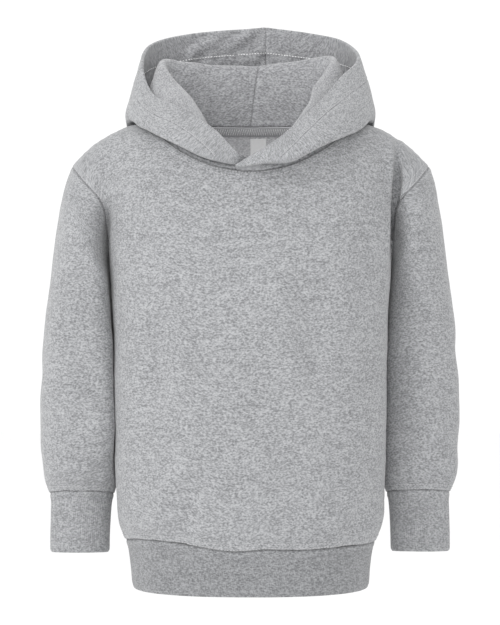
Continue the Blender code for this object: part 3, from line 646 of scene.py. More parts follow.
def waistband_surface():
    """The waistband's outer grid from its lower edge up to the panels."""
    rows = []
    for row in reversed(WAISTBAND):
        ring = []
        for k in range(BAND_COLUMNS):
            angle = 2 * pi * k / BAND_COLUMNS
            c, behind = cos(angle), sin(angle) > 0
            boxiness = BACK_BOXINESS if behind else BAND_BOXINESS
            depth = row["back"] if behind else -row["front"]
            ring.append((row["half_width"] * c, depth * bowed(abs(c), boxiness), row["z"]))
        rows.append(ring)
    grid = np.array(rows)
    return grid, grid_normals(grid, True)


def off_the_shoulders(point, gap):
    """Moves a point of the hood that would lie in the body out to the gap from it."""
    x, y, z = point
    lower = z - gap
    face = FRONT if y < 0 else BACK
    in_neck = abs(x) < SIDE_NECK_X and lower > neck_z(abs(x), face)
    if in_neck or lower > shoulder_z(x):
        return point
    forwards = y - (body_y(x, lower, FRONT) - gap)
    backwards = body_y(x, lower, BACK) + gap - y
    upwards = shoulder_z(x) - lower
    if forwards <= 0 or backwards <= 0:
        return point
    if upwards < min(forwards, backwards):
        return np.array([x, y, z + upwards])
    if forwards < backwards:
        return np.array([x, y - forwards, z])
    return np.array([x, y + backwards, z])


def neck_place(side, around):
    """A point of the panels' neck edge and its outward direction."""
    face = FRONT if around <= 0.5 else BACK
    steps = 2 * NECK_COLUMNS * (around if face == FRONT else 1 - around)
    column = NECK_COLUMNS + SHOULDER_COLUMNS - side * face * steps
    grid, out = body_surfaces()[face]
    return between(grid[-1], column), unit(between(out[-1], column))


def neck_edge(side, around):
    """The panels' neck edge at a place round it, with its way up and its outward direction."""
    step = 0.5 / NECK_COLUMNS
    edge, out = neck_place(side, around)
    before = neck_place(side, max(around - step, 0.0))[0]
    after = neck_place(side, min(around + step, 1.0))[0]
    if abs(around) < step or around > 1 - step:
        before, after = edge, edge + np.array([1.0, 0.0, 0.0])
    return edge, edge_direction(before, after, out, np.array(ABOVE_NECK) - edge), out


def hood_controls(station, side):
    """Control points of a hood station's middle layer, and the panels' direction under it."""
    around, ridge, bag, rim = station[0], station[1:4], station[4:7], station[7:]
    edge, along, out = neck_edge(side, around)
    start = edge - out * FLEECE / 2
    if side < 0:
        start[1] += UNDERLAP * clamp((UNDERLAP_END - around) / UNDERLAP_FADE)
    outwards = bag - ridge
    outwards[2] = max(outwards[2], 0.0)
    width = np.linalg.norm(outwards)
    outwards = unit(outwards)
    roll = min(HOOD_ROLL, ROLL_SHARE * width)
    reach = np.linalg.norm((bag - edge)[:2])
    fold = min(BAG_FOLD, FOLD_SHARE * width, FOLD_REACH * reach)
    belly = outwards * BELLY * np.linalg.norm(rim - bag)
    controls = [
        start,
        start + along * NECK_STAND,
        ridge - outwards * roll,
        ridge + outwards * roll,
        bag - outwards * fold,
        bag + outwards * fold * BAG_LIP,
        (bag + rim) / 2 + belly,
        rim,
    ]
    return controls, out


@lru_cache(maxsize=None)
def hood_surface(side):
    """The middle layer of one hood half from the neck to the rim, and its outward directions."""
    stations = HOOD_LEFT if side > 0 else HOOD_RIGHT
    grid = np.zeros((HOOD_ROWS + 1, HOOD_STATIONS + 1, 3))
    neck_out = np.zeros((HOOD_STATIONS + 1, 3))
    for c in range(HOOD_STATIONS + 1):
        controls, neck_out[c] = hood_controls(through(stations, c / HOOD_STATIONS), side)
        for r in range(HOOD_ROWS + 1):
            point = rolled(controls, r / HOOD_ROWS)
            if r / HOOD_ROWS > OUTSIDE:
                point = off_the_shoulders(point, HOOD_REST)
            grid[r, c] = point
    if side < 0:
        grid, neck_out = grid[:, ::-1], neck_out[::-1]
    return grid, neck_out


def on_back_inside(x, z, depth):
    """A point on the inner face of the back panel, moved out by a depth towards the wearer."""
    grid, out = body_surfaces()[BACK]
    inner = grid - out * FLEECE
    columns = inner.shape[1]
    rows = [np.interp(-z, -inner[::-1, c, 2], np.arange(len(inner))[::-1]) for c in range(columns)]
    line = []
    for c, row in enumerate(rows):
        low = min(int(row), len(inner) - 2)
        f = row - low
        point = inner[low, c] * (1 - f) + inner[low + 1, c] * f
        line.append((*point, *unit(out[low, c] * (1 - f) + out[low + 1, c] * f)))
    line = np.array(line)[::-1]
    found = np.array([np.interp(x, line[:, 0], line[:, k]) for k in range(6)])
    facing = -unit(found[3:])
    return found[:3] + facing * depth, facing


# ---- fine cloth
def millimetres(name):
    """A size that the user has set."""
    return getattr(bpy.context.scene.hoodie_cloth, name) / METRES_PER_MM


def spline_weights(count, places, closed):
    """Weights that read a smooth curve through count points at fractional places."""
    weights = np.zeros((len(places), count))
    for row, place in enumerate(places):
        i = int(place) if closed else min(int(place), count - 2)
        f = place - i
        parts = (
            (-1, -0.5 * f + f**2 - 0.5 * f**3),
            (0, 1 - 2.5 * f**2 + 1.5 * f**3),
            (1, 0.5 * f + 2 * f**2 - 1.5 * f**3),
            (2, -0.5 * f**2 + 0.5 * f**3),
        )
        for step, weight in parts:
            at = i + step
            if closed:
                weights[row, at % count] += weight
            elif at < 0:  # past an end, the curve runs straight on
                weights[row, 0] += 2 * weight
                weights[row, 1] -= weight
            elif at >= count:
                weights[row, -1] += 2 * weight
                weights[row, -2] -= weight
            else:
                weights[row, at] += weight
    return weights


def fine_places(count, per_cell, near=(), closed=False):
    """Even places along a grid's rows or columns, with more of them close to both ends."""
    if closed:
        return np.arange(count * per_cell) / per_cell
    even = np.linspace(0, count - 1, (count - 1) * per_cell + 1)
    near = np.array(near)
    return np.unique(np.round(np.concatenate([even, near, count - 1 - near]), 4))


def finer(grid, rows, columns, closed):
    """A grid read again at finer places."""
    down = spline_weights(grid.shape[0], rows, False)
    across = spline_weights(grid.shape[1], columns, closed)
    return np.einsum("ri,ijk,cj->rck", down, grid, across, optimize=True)


def lengths(grid, axis):
    """How far each point is along its row (axis 1) or its column (axis 0)."""
    steps = np.linalg.norm(np.diff(grid, axis=axis), axis=2)
    start = np.zeros_like(np.take(steps, [0], axis=axis))
    return np.cumsum(np.concatenate([start, steps], axis=axis), axis=axis)


def nearest(grid, edge):
    """Each point's distance from an edge line, and how far along the line it is nearest."""
    places = np.linspace(0, len(edge) - 1, (len(edge) - 1) * 4 + 1)
    parts = [np.interp(places, np.arange(len(edge)), edge[:, k]) for k in range(3)]
    line = np.stack(parts, axis=1)
    run = np.concatenate([[0.0], np.cumsum(np.linalg.norm(np.diff(line, axis=0), axis=1))])
    tree = kdtree.KDTree(len(line))
    for k, point in enumerate(line):
        tree.insert(point, k)
    tree.balance()
    found = [tree.find(point)[1:] for point in grid.reshape(-1, 3)]
    index = np.array([k for k, _ in found])
    distance = np.array([d for _, d in found])
    return distance.reshape(grid.shape[:2]), run[index].reshape(grid.shape[:2])


def crease_height(rows, across, up):
    """Troughs at their listed places, with a low shoulder on both sides; a depth below 0 is a
    ridge.
    """
    height = np.zeros_like(across)
    for row in rows:
        place = dict(zip(CREASE_COLUMNS, row))
        turn = place["slant"] * pi / 180
        du, dv = across - place["across"], up - place["up"]
        along = (du * sin(turn) + dv * cos(turn)) / place["half_length"]
        bend = place["bend"] * along**2
        beside = (du * cos(turn) - dv * sin(turn) - bend) / place["half_width"]
        shoulders = np.exp(-((np.abs(beside) - SHOULDER_AT) ** 2) / SHOULDER_SPREAD)
        shape = np.exp(-(beside**2)) - SHOULDER_SHARE * shoulders
        height -= place["depth"] * np.exp(-(along**4)) * shape
    return height * bpy.context.scene.hoodie_cloth.crease_depth


def unevenness(points, size, seed):
    """A slow random rise and fall from -1 to 1, with waves about as long as size."""
    shift = Vector(NOISE_SHIFT) * seed
    flat = (points / size).reshape(-1, 3)
    return np.array([noise.noise(Vector(p) + shift) for p in flat]).reshape(points.shape[:2])


def hem_wave(points):
    """How far the hem's seam and the cloth near it lie above their even line, at the front."""
    xs, rises = zip(*HEM_WAVE)
    steps = np.linspace(0, 1, 65)
    smooth = [through(rises, step) for step in steps]
    places = np.interp(points[..., 0], xs, np.arange(len(xs)) / (len(xs) - 1))
    near = np.exp(-(((points[..., 2] - HEM_Z) / HEM_WAVE_HEIGHT) ** 2))
    in_front = np.clip(-points[..., 1] / HEM_WAVE_DEPTH, 0, 1)
    return np.interp(places, steps, smooth) * near * in_front


def seam_height(distance, along, seed):
    """How the cloth dips into a sewn seam, stands up beside it and puckers along it."""
    dip = -SEAM_DIP * np.exp(-((distance / SEAM_DIP_WIDTH) ** 2))
    band = SEAM_BAND * np.exp(-(((distance - SEAM_BAND_AT) / SEAM_BAND_WIDTH) ** 2))
    ripple = np.zeros_like(along)
    for k, (wave, share) in enumerate(PUCKER_WAVES):
        wander = PUCKER_WANDER * np.sin(along / WANDER_LENGTH + k + seed)
        ripple += share * np.sin(2 * pi * along / wave + seed * (NEXT_WAVE + k) + wander)
    ripple *= millimetres("pucker_depth")
    return dip + band + ripple * np.exp(-((distance / PUCKER_REACH) ** 2))


def wall_rows(values):
    """One value for each row of a wall: up the outer side, over the top, down and under."""
    top, bottom = [values[-1]] * END_STEPS, [values[0]] * END_STEPS
    return np.concatenate([values, top, values[::-1], bottom])


def rounded_end(a, b, beside, roundness):
    """Rows that turn round a wall's end from the outer side a to the inner side b."""
    middle, half = (a + b) / 2, (a - b) / 2
    radius = np.linalg.norm(half, axis=1, keepdims=True)
    past = unit(a - beside) * radius * roundness
    turns = [pi * (k + 1) / (END_STEPS + 1) for k in range(END_STEPS)]
    return [middle + half * cos(t) + past * sin(t) for t in turns]


def side_faces(rows, columns, column):
    """Faces that close a wall at its first or last column."""
    count = 2 * (rows + END_STEPS)
    inner = rows + END_STEPS
    faces = [[r, r + 1, inner + rows - 2 - r, inner + rows - 1 - r] for r in range(rows - 1)]
    faces.append(list(range(rows - 1, inner + 1)))
    faces.append([r % count for r in range(inner + rows - 1, count + 1)])
    if column:
        faces = [face[::-1] for face in faces]
    return [[r * columns + column for r in face] for face in faces]


def shell(name, outer, inner, closed, seam, ends, materials):
    """A closed cloth wall between two fine grids. ends says how round its bottom and top are."""
    rows, columns = outer.shape[:2]
    top = rounded_end(outer[-1], inner[-1], outer[-2], ends[1])
    bottom = rounded_end(inner[0], outer[0], inner[1], ends[0])
    points = np.concatenate([outer, top, inner[::-1], bottom])
    count = len(points)
    k = np.arange(count)[:, None]
    c = np.arange(columns if closed else columns - 1)[None, :]
    d, up = (c + 1) % columns, (k + 1) % count
    corners = [k * columns + c, k * columns + d, up * columns + d, up * columns + c]
    faces = np.stack(corners, axis=-1).reshape(-1, 4).tolist()
    inside = (k >= rows + END_STEPS) & (k < count - END_STEPS - 1)
    slots = np.broadcast_to(inside, (count, c.size)).astype(int).reshape(-1).tolist()
    if not closed:
        for column in (0, columns - 1):
            sides = side_faces(rows, columns, column)
            faces += sides
            slots += [0] * len(sides)
    mesh = bpy.data.meshes.new(name)
    mesh.from_pydata((points.reshape(-1, 3) * METRES_PER_MM).tolist(), [], faces)
    mesh.shade_smooth()
    for material in materials:
        mesh.materials.append(material)
    mesh.polygons.foreach_set("material_index", slots)
    lay_out(mesh, outer, closed, columns)
    # The distance to the nearest seam, from which the materials paint shade in seams and a
    # highlight beside them.
    attribute = mesh.attributes.new("seam", "FLOAT", "POINT")
    attribute.data.foreach_set("value", wall_rows(seam).astype(np.float32).ravel())
    mesh.update()
    piece = bpy.data.objects.new(name + "_cloth", mesh)
    bpy.context.scene.collection.objects.link(piece)
    return piece


def lay_out(mesh, outer, closed, columns):
    """The piece's own UV map in metres: across it and up it, measured along its cloth."""
    loop = np.concatenate([outer, outer[:, :1]], axis=1) if closed else outer
    across, up = lengths(loop, 1), lengths(loop, 0)
    across -= across[:, [across.shape[1] // 2]]
    uv = wall_rows(np.stack([across, up], axis=-1))
    vertex = np.zeros(len(mesh.loops), np.int32)
    mesh.loops.foreach_get("vertex_index", vertex)
    row, column = vertex // columns, vertex % columns
    if closed:  # in the last column's faces, the far corners carry on past the seam
        last = np.repeat(column.reshape(-1, 4).max(axis=1) == columns - 1, 4)
        column = np.where(last & (column == 0), columns, column)
    flat = uv[row, column] * METRES_PER_MM
    mesh.uv_layers.new(name="Cloth").data.foreach_set("uv", flat.astype(np.float32).ravel())


def hand_over(piece, node, with_pieces=()):
    """Hides the solid that a finished cloth piece was made from and ties the piece to the frame.
    """
    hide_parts(node)
    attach(piece, BODY_NAME)


# ---- materials
def linear(hex_colour):
    """An sRGB hex colour as the linear red, green and blue that a shader reads."""
    parts = [int(hex_colour[k : k + 2], 16) / 255 for k in (1, 3, 5)]
    return tuple(p / 12.92 if p <= 0.04045 else ((p + 0.055) / 1.055) ** 2.4 for p in parts)


def chosen(name):
    """A colour that the user has set."""
    return tuple(getattr(bpy.context.scene.hoodie_colours, name))


def add(tree, kind, settings=None, links=None):
    """Adds a node. Settings go to its properties and sockets, and links join its sockets."""
    made = tree.nodes.new(kind)
    for key, value in (settings or {}).items():
        if isinstance(key, str) and hasattr(made, key):
            setattr(made, key, value)
        else:
            made.inputs[key].default_value = value
    for key, source in (links or {}).items():
        tree.links.new(source, made.inputs[key])
    return made


def part_of(tree, value, divisor=2.0):
    """A number divided by another, in either kind of tree."""
    return add(tree, "ShaderNodeMath", {"operation": "DIVIDE", 1: divisor}, {0: value}).outputs[0]


def begin(name, roughness, sheen, specular=0.3):
    """A material with only its surface shader, whose even numbers are set on its own sockets."""
    material = bpy.data.materials.new(name)
    material.use_nodes = True
    shader = material.node_tree.nodes["Principled BSDF"]
    shader.inputs["Roughness"].default_value = roughness
    shader.inputs["Sheen Weight"].default_value = sheen
    shader.inputs["Sheen Roughness"].default_value = SHEEN_ROUGHNESS
    shader.inputs["Specular IOR Level"].default_value = specular
    return material, material.node_tree, shader


def laid_out(tree):
    """The place on the cloth, in metres, from its own UV map."""
    return add(tree, "ShaderNodeUVMap", {"uv_map": "Cloth"}).outputs["UV"]


def pattern(tree, place, size_mm, detail, roughness=0.55):
    """Noise whose grains are size_mm = (across, up) on the cloth."""
    scale = (*(1 / (size * METRES_PER_MM) for size in size_mm), 1.0)
    settings = {"Scale": scale, "Location": NOISE_OFFSET}
    scaled = add(tree, "ShaderNodeMapping", settings, {"Vector": place}).outputs["Vector"]
    settings = {"Scale": 1.0, "Detail": detail, "Roughness": roughness}
    return add(tree, "ShaderNodeTexNoise", settings, {"Vector": scaled}).outputs["Fac"]


def tooth(tree, scale, detail):
    """Even noise through a solid, by its place in the scene."""
    place = add(tree, "ShaderNodeTexCoord").outputs["Object"]
    settings = {"Scale": scale, "Detail": detail}
    return add(tree, "ShaderNodeTexNoise", settings, {"Vector": place}).outputs["Fac"]


def ridges(tree, place, direction, spacing_mm, distortion, detail_scale=1.0):
    """Soft ridges side by side in one direction of the cloth, X across it or Y up it."""
    scale = [1 / (spacing_mm * METRES_PER_MM) if axis == direction else 1.0 for axis in "XYZ"]
    scaled = add(tree, "ShaderNodeMapping", {"Scale": scale}, {"Vector": place}).outputs["Vector"]
    settings = {"bands_direction": direction, "Scale": 1 / WAVE_REPEAT, "Distortion": distortion}
    settings |= {"Detail": 1.0, "Detail Scale": detail_scale}
    return add(tree, "ShaderNodeTexWave", settings, {"Vector": scaled}).outputs["Fac"]


def weighed(tree, parts):
    """The sum of several values, each times its own share."""
    total = None
    for value, share in parts:
        settings, links = {"operation": "MULTIPLY_ADD", 1: share, 2: 0.0}, {0: value}
        if total is not None:
            links[2] = total
        total = add(tree, "ShaderNodeMath", settings, links).outputs["Value"]
    return total


def two_tone(tree, value, dark, pale, spread=0.5):
    """A colour from dark to pale by a value; the smaller the spread, the harder it turns."""
    ramp = add(tree, "ShaderNodeValToRGB", None, {"Fac": value})
    ends = ramp.color_ramp.elements
    ends[0].position, ends[1].position = 0.5 - spread, 0.5 + spread
    ends[0].color, ends[1].color = (*dark, 1.0), (*pale, 1.0)
    return ramp.outputs["Color"]


def relief(tree, shader, height, strength, distance):
    """Lets a height stand out as fine bumps, distance metres high."""
    settings = {"Strength": strength, "Distance": distance}
    bump = add(tree, "ShaderNodeBump", settings, {"Height": height})
    tree.links.new(bump.outputs["Normal"], shader.inputs["Normal"])


def tinted(tree, shader, value, colour, dark, pale):
    """A surface that goes from a dark to a pale share of one colour, by a value."""
    tones = ([share * part for part in colour] for share in (dark, pale))
    tree.links.new(two_tone(tree, value, *tones), shader.inputs["Base Color"])


def painted_seam_shading(tree):
    """Painted shade in a seam, and a painted highlight on the pressed cloth beside it, by the
    distance to the seam.
    """
    distance = add(tree, "ShaderNodeAttribute", {"attribute_name": "seam"}).outputs["Fac"]
    settings = {"operation": "DIVIDE", "use_clamp": True, 1: SEAM_REACH}
    reach = add(tree, "ShaderNodeMath", settings, {0: distance}).outputs["Value"]
    shade = add(tree, "ShaderNodeFloatCurve", None, {"Value": reach})
    curve = shade.mapping.curves[0]
    curve.points[0].location, curve.points[-1].location = PAINTED_SEAM_SHADING[0], PAINTED_SEAM_SHADING[-1]
    for at, value in PAINTED_SEAM_SHADING[1:-1]:
        curve.points.new(at, value)
    shade.mapping.update()
    return part_of(tree, shade.outputs["Value"], FULL_SHADE)


def melange(name, yarn, loops_mm, rib_mm=0.0, nap=0.5, sheen=0.25):
    """Heather jersey: dark and pale fibres spun together, which show as short level dashes."""
    material, tree, shader = begin(name, 0.95, sheen)
    place = laid_out(tree)
    grains = [(pattern(tree, place, grain[:2], grain[2]), grain[3]) for grain in GRAINS]
    mixed = weighed(tree, grains)
    heather = two_tone(tree, mixed, chosen(yarn + "_dark"), chosen(yarn + "_pale"), HEATHER_SPREAD)
    # The heather is darkened in seams as painted shade and made paler beside them as a painted
    # highlight.
    links = {0: heather, "Scale": painted_seam_shading(tree)}
    shaded = add(tree, "ShaderNodeVectorMath", {"operation": "SCALE"}, links)
    tree.links.new(shaded.outputs["Vector"], shader.inputs["Base Color"])
    heights = [(pattern(tree, place, loops_mm, 2.0, 0.7), nap), (grains[0][0], 0.5)]
    if rib_mm:
        heights.append((ridges(tree, place, "X", rib_mm, 0.35, 0.7), 0.9))
    relief(tree, shader, weighed(tree, heights), 0.55, 0.0006)
    return material


@lru_cache(maxsize=None)
def fleece_face():
    """Knitted face of cotton-blend fleece: matt, softly furred, its fibres unevenly dyed."""
    return melange("Heather fleece face", "fleece", FACE_LOOPS)


@lru_cache(maxsize=None)
def fleece_back(part):
    """Brushed back of the fleece: the same fibres raised to a short nap, a little more even."""
    name = "Heather fleece brushed back, " + part.replace("_", " ")
    return melange(name, part, NAP_LOOPS, nap=0.9, sheen=0.35)


@lru_cache(maxsize=None)
def rib_knit(part):
    """One-by-one rib in the same yarn: fine upright ridges, drawn 1.9 mm apart so they show."""
    # Each part has its own colours: the waistband's darker as painted shade, the cuffs' paler as
    # painted light.
    spacing = millimetres("rib_spacing")
    return melange(f"Heather rib knit, {part}", part, FACE_LOOPS, rib_mm=spacing)


@lru_cache(maxsize=None)
def sewing_thread(part="thread"):
    """Spun polyester thread: two plies twisted, a little brighter than the cloth it lies on."""
    material, tree, shader = begin("Spun polyester " + part.replace("_", " "), 0.7, 0.1)
    plies = tooth(tree, 900.0, 1.0)
    tinted(tree, shader, plies, chosen(part), 0.8, 1.15)
    relief(tree, shader, plies, 0.3, 0.0002)
    return material


@lru_cache(maxsize=None)
def knit_tape():
    """Narrow knitted cotton tape: pale, with fine level courses 1 mm apart."""
    material, tree, shader = begin("Knitted cotton tape", 0.9, 0.2)
    place = laid_out(tree)
    loops = ridges(tree, place, "Y", COURSE, 0.8)
    uneven = weighed(tree, [(loops, 0.5), (pattern(tree, place, (2.0, 1.0), 1.0), 0.5)])
    tinted(tree, shader, uneven, chosen("tape"), 0.75, 1.15)
    relief(tree, shader, loops, 0.4, 0.0003)
    return material


@lru_cache(maxsize=None)
def satin_label():
    """Woven polyester satin: smooth and white, softly glossy along its fine upright threads."""
    material, tree, shader = begin("Woven satin label", 0.45, 0.0, 0.5)
    threads = pattern(tree, laid_out(tree), (0.35, 2.5), 1.0)
    tinted(tree, shader, threads, chosen("label"), 0.93, min(1.04, 1 / max(chosen("label"))))
    relief(tree, shader, threads, 0.2, 0.0001)
    return material


@lru_cache(maxsize=None)
def studio_paper():
    """Matt paper of a studio's floor: plain and pale, with a trace of tooth."""
    material, tree, shader = begin("Matt studio paper", 0.9, 0.0)
    tinted(tree, shader, tooth(tree, 40.0, 2.0), chosen("floor"), 0.98, 1.0)
    return material


# ---- sewing, by Geometry Nodes
def new_tree(name, numbers):
    """A geometry tree with named sizes and a material as its inputs."""
    tree = bpy.data.node_groups.new(name, "GeometryNodeTree")
    sockets = tree.interface
    sockets.new_socket("Guide", in_out="INPUT", socket_type="NodeSocketGeometry")
    for label, value in numbers.items():
        socket = sockets.new_socket(label, in_out="INPUT", socket_type="NodeSocketFloat")
        socket.default_value = value
        socket.subtype = "DISTANCE"
    sockets.new_socket("Material", in_out="INPUT", socket_type="NodeSocketMaterial")
    sockets.new_socket("Sewing", in_out="OUTPUT", socket_type="NodeSocketGeometry")
    return tree, add(tree, "NodeGroupInput").outputs


def finish_tree(tree, geometry, material):
    """Ends a tree in plain geometry of one material."""
    plain = add(tree, "GeometryNodeRealizeInstances", None, {"Geometry": geometry})
    links = {"Geometry": plain.outputs[0], "Material": material}
    done = add(tree, "GeometryNodeSetMaterial", None, links)
    add(tree, "NodeGroupOutput", None, {"Sewing": done.outputs["Geometry"]})


def guide_marks(tree, guide, spacing):
    """Marks along the guide line, its direction, and the way that the cloth faces there."""
    line = add(tree, "GeometryNodeMeshToCurve", None, {"Mesh": guide}).outputs["Curve"]
    links = {"Curve": line, "Length": spacing}
    marks = add(tree, "GeometryNodeResampleCurve", {"mode": "LENGTH"}, links).outputs["Curve"]
    settings = {"data_type": "FLOAT_VECTOR", "Name": "facing"}
    facing = add(tree, "GeometryNodeInputNamedAttribute", settings).outputs["Attribute"]
    return marks, add(tree, "GeometryNodeInputTangent").outputs["Tangent"], facing


@lru_cache(maxsize=None)
def topstitch_tree():
    """Stitches along a guide line: each is a small ellipsoid pressed to the cloth."""
    tree, given = new_tree("Topstitch row", {"Pitch": 0.0028, "Stitch": 0.0023, "Thread": 0.0005})
    marks, tangent, facing = guide_marks(tree, given["Guide"], given["Pitch"])
    turn, thread = "FunctionNodeAlignRotationToVector", given["Thread"]
    up = add(tree, turn, {"axis": "Z"}, {"Vector": facing})
    links = {"Rotation": up.outputs["Rotation"], "Vector": tangent}
    along = add(tree, turn, {"axis": "X", "pivot_axis": "Z"}, links)
    bead = add(tree, "GeometryNodeMeshUVSphere", {"Segments": 6, "Rings": 4, "Radius": 1.0})
    links = {"X": part_of(tree, given["Stitch"]), "Y": part_of(tree, thread)}
    links["Z"] = part_of(tree, thread, PRESSED_THREAD)
    links = {"Scale": add(tree, "ShaderNodeCombineXYZ", None, links).outputs["Vector"]}
    links |= {"Points": marks, "Instance": bead.outputs["Mesh"]}
    links["Rotation"] = along.outputs["Rotation"]
    row = add(tree, "GeometryNodeInstanceOnPoints", None, links)
    finish_tree(tree, row.outputs["Instances"], given["Material"])
    return tree


@lru_cache(maxsize=None)
def zigzag_tree():
    """One thread that goes from side to side of a guide line, as a cover seam holds a tape."""
    tree, given = new_tree("Zigzag thread", {"Pitch": 0.0021, "Width": 0.004, "Thread": 0.0006})
    marks, tangent, facing = guide_marks(tree, given["Guide"], part_of(tree, given["Pitch"]))

    def calculate(kind, operation, first, second):
        return add(tree, kind, {"operation": operation}, {0: first, 1: second}).outputs[0]

    sideways = calculate("ShaderNodeVectorMath", "CROSS_PRODUCT", tangent, facing)
    index = add(tree, "GeometryNodeInputIndex").outputs["Index"]
    odd = add(tree, "ShaderNodeMath", {"operation": "MODULO", 1: 2.0}, {0: index}).outputs[0]
    swing = add(tree, "ShaderNodeMath", {"operation": "SUBTRACT", 1: 0.5}, {0: odd}).outputs[0]
    reach = calculate("ShaderNodeMath", "MULTIPLY", swing, given["Width"])
    links = {0: sideways, "Scale": reach}
    offset = add(tree, "ShaderNodeVectorMath", {"operation": "SCALE"}, links).outputs["Vector"]
    bent = add(tree, "GeometryNodeSetPosition", None, {"Geometry": marks, "Offset": offset})
    links = {"Radius": part_of(tree, given["Thread"])}
    ring = add(tree, "GeometryNodeCurvePrimitiveCircle", {"Resolution": 5}, links)
    links = {"Curve": bent.outputs["Geometry"], "Profile Curve": ring.outputs["Curve"]}
    thread = add(tree, "GeometryNodeCurveToMesh", {"Fill Caps": True}, links)
    finish_tree(tree, thread.outputs["Mesh"], given["Material"])
    return tree


def line_in(grid, out, field, value, axis, from_end=False):
    """The line where a distance field, which grows from one edge of a grid, reaches a value."""
    if axis == 0:
        grid, out, field = (np.swapaxes(part, 0, 1) for part in (grid, out, field))
    points, facings = [], []
    for cloth, facing, away in zip(grid, out, field):
        if from_end:
            cloth, facing, away = cloth[::-1], facing[::-1], away[::-1]
        away = np.maximum.accumulate(away[:REACH_IN])
        cloth, facing = cloth[: len(away)], facing[: len(away)]
        up = unit(np.array([np.interp(value, away, facing[:, k]) for k in range(3)]))
        at = np.array([np.interp(value, away, cloth[:, k]) for k in range(3)])
        points.append(at + up * STITCH_LIFT)
        facings.append(up)
    return np.array(points), np.array(facings)


def sew(name, lines, tree, values, material):
    """Makes the sewing along guide lines as one plain piece."""
    mesh = bpy.data.meshes.new(name)
    points = np.concatenate([line for line, _ in lines])
    edges, start = [], 0
    for line, _ in lines:
        edges += [(k, k + 1) for k in range(start, start + len(line) - 1)]
        start += len(line)
    mesh.from_pydata((points * METRES_PER_MM).tolist(), edges, [])
    facings = np.concatenate([facing for _, facing in lines]).astype(np.float32)
    attribute = mesh.attributes.new("facing", "FLOAT_VECTOR", "POINT")
    attribute.data.foreach_set("vector", facings.ravel())
    piece = bpy.data.objects.new(name, mesh)
    bpy.context.scene.collection.objects.link(piece)
    modifier = piece.modifiers.new(tree.name, "NODES")
    modifier.node_group = tree
    values = {**values, "Material": material}
    for item in tree.interface.items_tree:
        if item.in_out == "INPUT" and item.name in values:
            modifier[item.identifier] = values[item.name]
    evaluated = piece.evaluated_get(bpy.context.evaluated_depsgraph_get())
    result = bpy.data.meshes.new_from_object(evaluated)
    piece.modifiers.remove(modifier)
    piece.data = result
    piece.data.name = name
    if not result.polygons:
        raise RuntimeError(f"{name}: no stitches were made")
    if "Stitch" in values:
        result.shade_smooth()
    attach(piece, BODY_NAME)
    return piece


def topstitch(name, lines, part="thread"):
    cloth = bpy.context.scene.hoodie_cloth
    values = {"Pitch": cloth.stitch_pitch, "Stitch": cloth.stitch_pitch * STITCH_SHARE}
    values["Thread"] = cloth.thread_width
    return sew(name, lines, topstitch_tree(), values, sewing_thread(part))


# ---- sizes and colours that a user would change
def size(name, description, default, low, high):
    settings = dict(name=name, description=description, default=default, min=low, max=high)
    return FloatProperty(precision=5, unit="LENGTH", **settings)


def colour(name, description, hex_colour):
    settings = dict(name=name, description=description, default=linear(hex_colour))
    return FloatVectorProperty(size=3, min=0.0, max=1.0, subtype="COLOR", **settings)


def power(name, description, watts):
    settings = dict(name=name, description=description, default=watts)
    return FloatProperty(min=0.0, max=200.0, unit="POWER", **settings)


class HoodieClothSettings(bpy.types.PropertyGroup):
    crease_depth: FloatProperty(
        name="Crease depth",
        description="How deep the cloth's creases are, for their depth as made",
        default=1.0,
        min=0.0,
        max=2.0,
        subtype="FACTOR",
    )
    pucker_depth: size(
        "Pucker depth", "How far the cloth rises and falls along its seams", 0.00024, 0.0, 0.001
    )
    loft: size("Loft", "How far the cloth is uneven between its creases", 0.0009, 0.0, 0.003)
    stitch_pitch: size(
        "Stitch pitch", "From one stitch of a topstitched row to the next", 0.0028, 0.001, 0.006
    )
    thread_width: size("Thread width", "Width of a thread on the cloth", 0.0007, 0.0002, 0.0015)
    rib_spacing: size(
        "Rib spacing", "From one rib of the cuffs and waistband to the next", 0.0019, 0.001, 0.005
    )


class HoodieColourSettings(bpy.types.PropertyGroup):
    fleece_dark: colour("Fleece, dark fibres", "Darkest heather on the face", "#6b6c6e")
    fleece_pale: colour("Fleece, pale fibres", "Palest heather on the face", "#a5a6a8")
    nap_dark: colour("Hood inside, dark fibres", "Darkest heather on its brushed back", "#6c6c6f")
    nap_pale: colour("Hood inside, pale fibres", "Palest heather on its brushed back", "#a5a6a8")
    # Painted light: the body's brushed back has paler fibres than the same brushed back in the
    # hood, standing in for light inside the neck.
    body_nap_dark: colour("Body inside, dark fibres", "Darkest on its paler back", "#b0b0b3")
    body_nap_pale: colour("Body inside, pale fibres", "Palest on its paler back", "#e2e2e4")
    # Painted shade: the waistband's rib is darker than the same yarn elsewhere, standing in for
    # the dimmer light low on the garment.
    band_dark: colour("Waistband, dark fibres", "Darkest heather on its rib", "#5f6062")
    band_pale: colour("Waistband, pale fibres", "Palest heather on its rib", "#939496")
    # Painted light: the cuffs' rib is paler than the waistband's, making up for the shade at the
    # sleeve ends.
    cuff_dark: colour("Cuffs, dark fibres", "Darkest heather on their rib", "#6b6c6e")
    cuff_pale: colour("Cuffs, pale fibres", "Palest heather on their rib", "#a1a2a4")
    thread: colour("Thread", "Sewing thread", "#b2b2b4")
    tape: colour("Neck tape", "Knitted tape over the back neck seam", "#b0b0b3")
    tape_thread: colour("Zigzag thread", "Thread that holds the neck tape", "#ffffff")
    label: colour("Label", "Satin label inside the back neck", "#fbfbfb")
    floor: colour("Floor", "Studio paper under and behind the garment", "#fcfcfc")


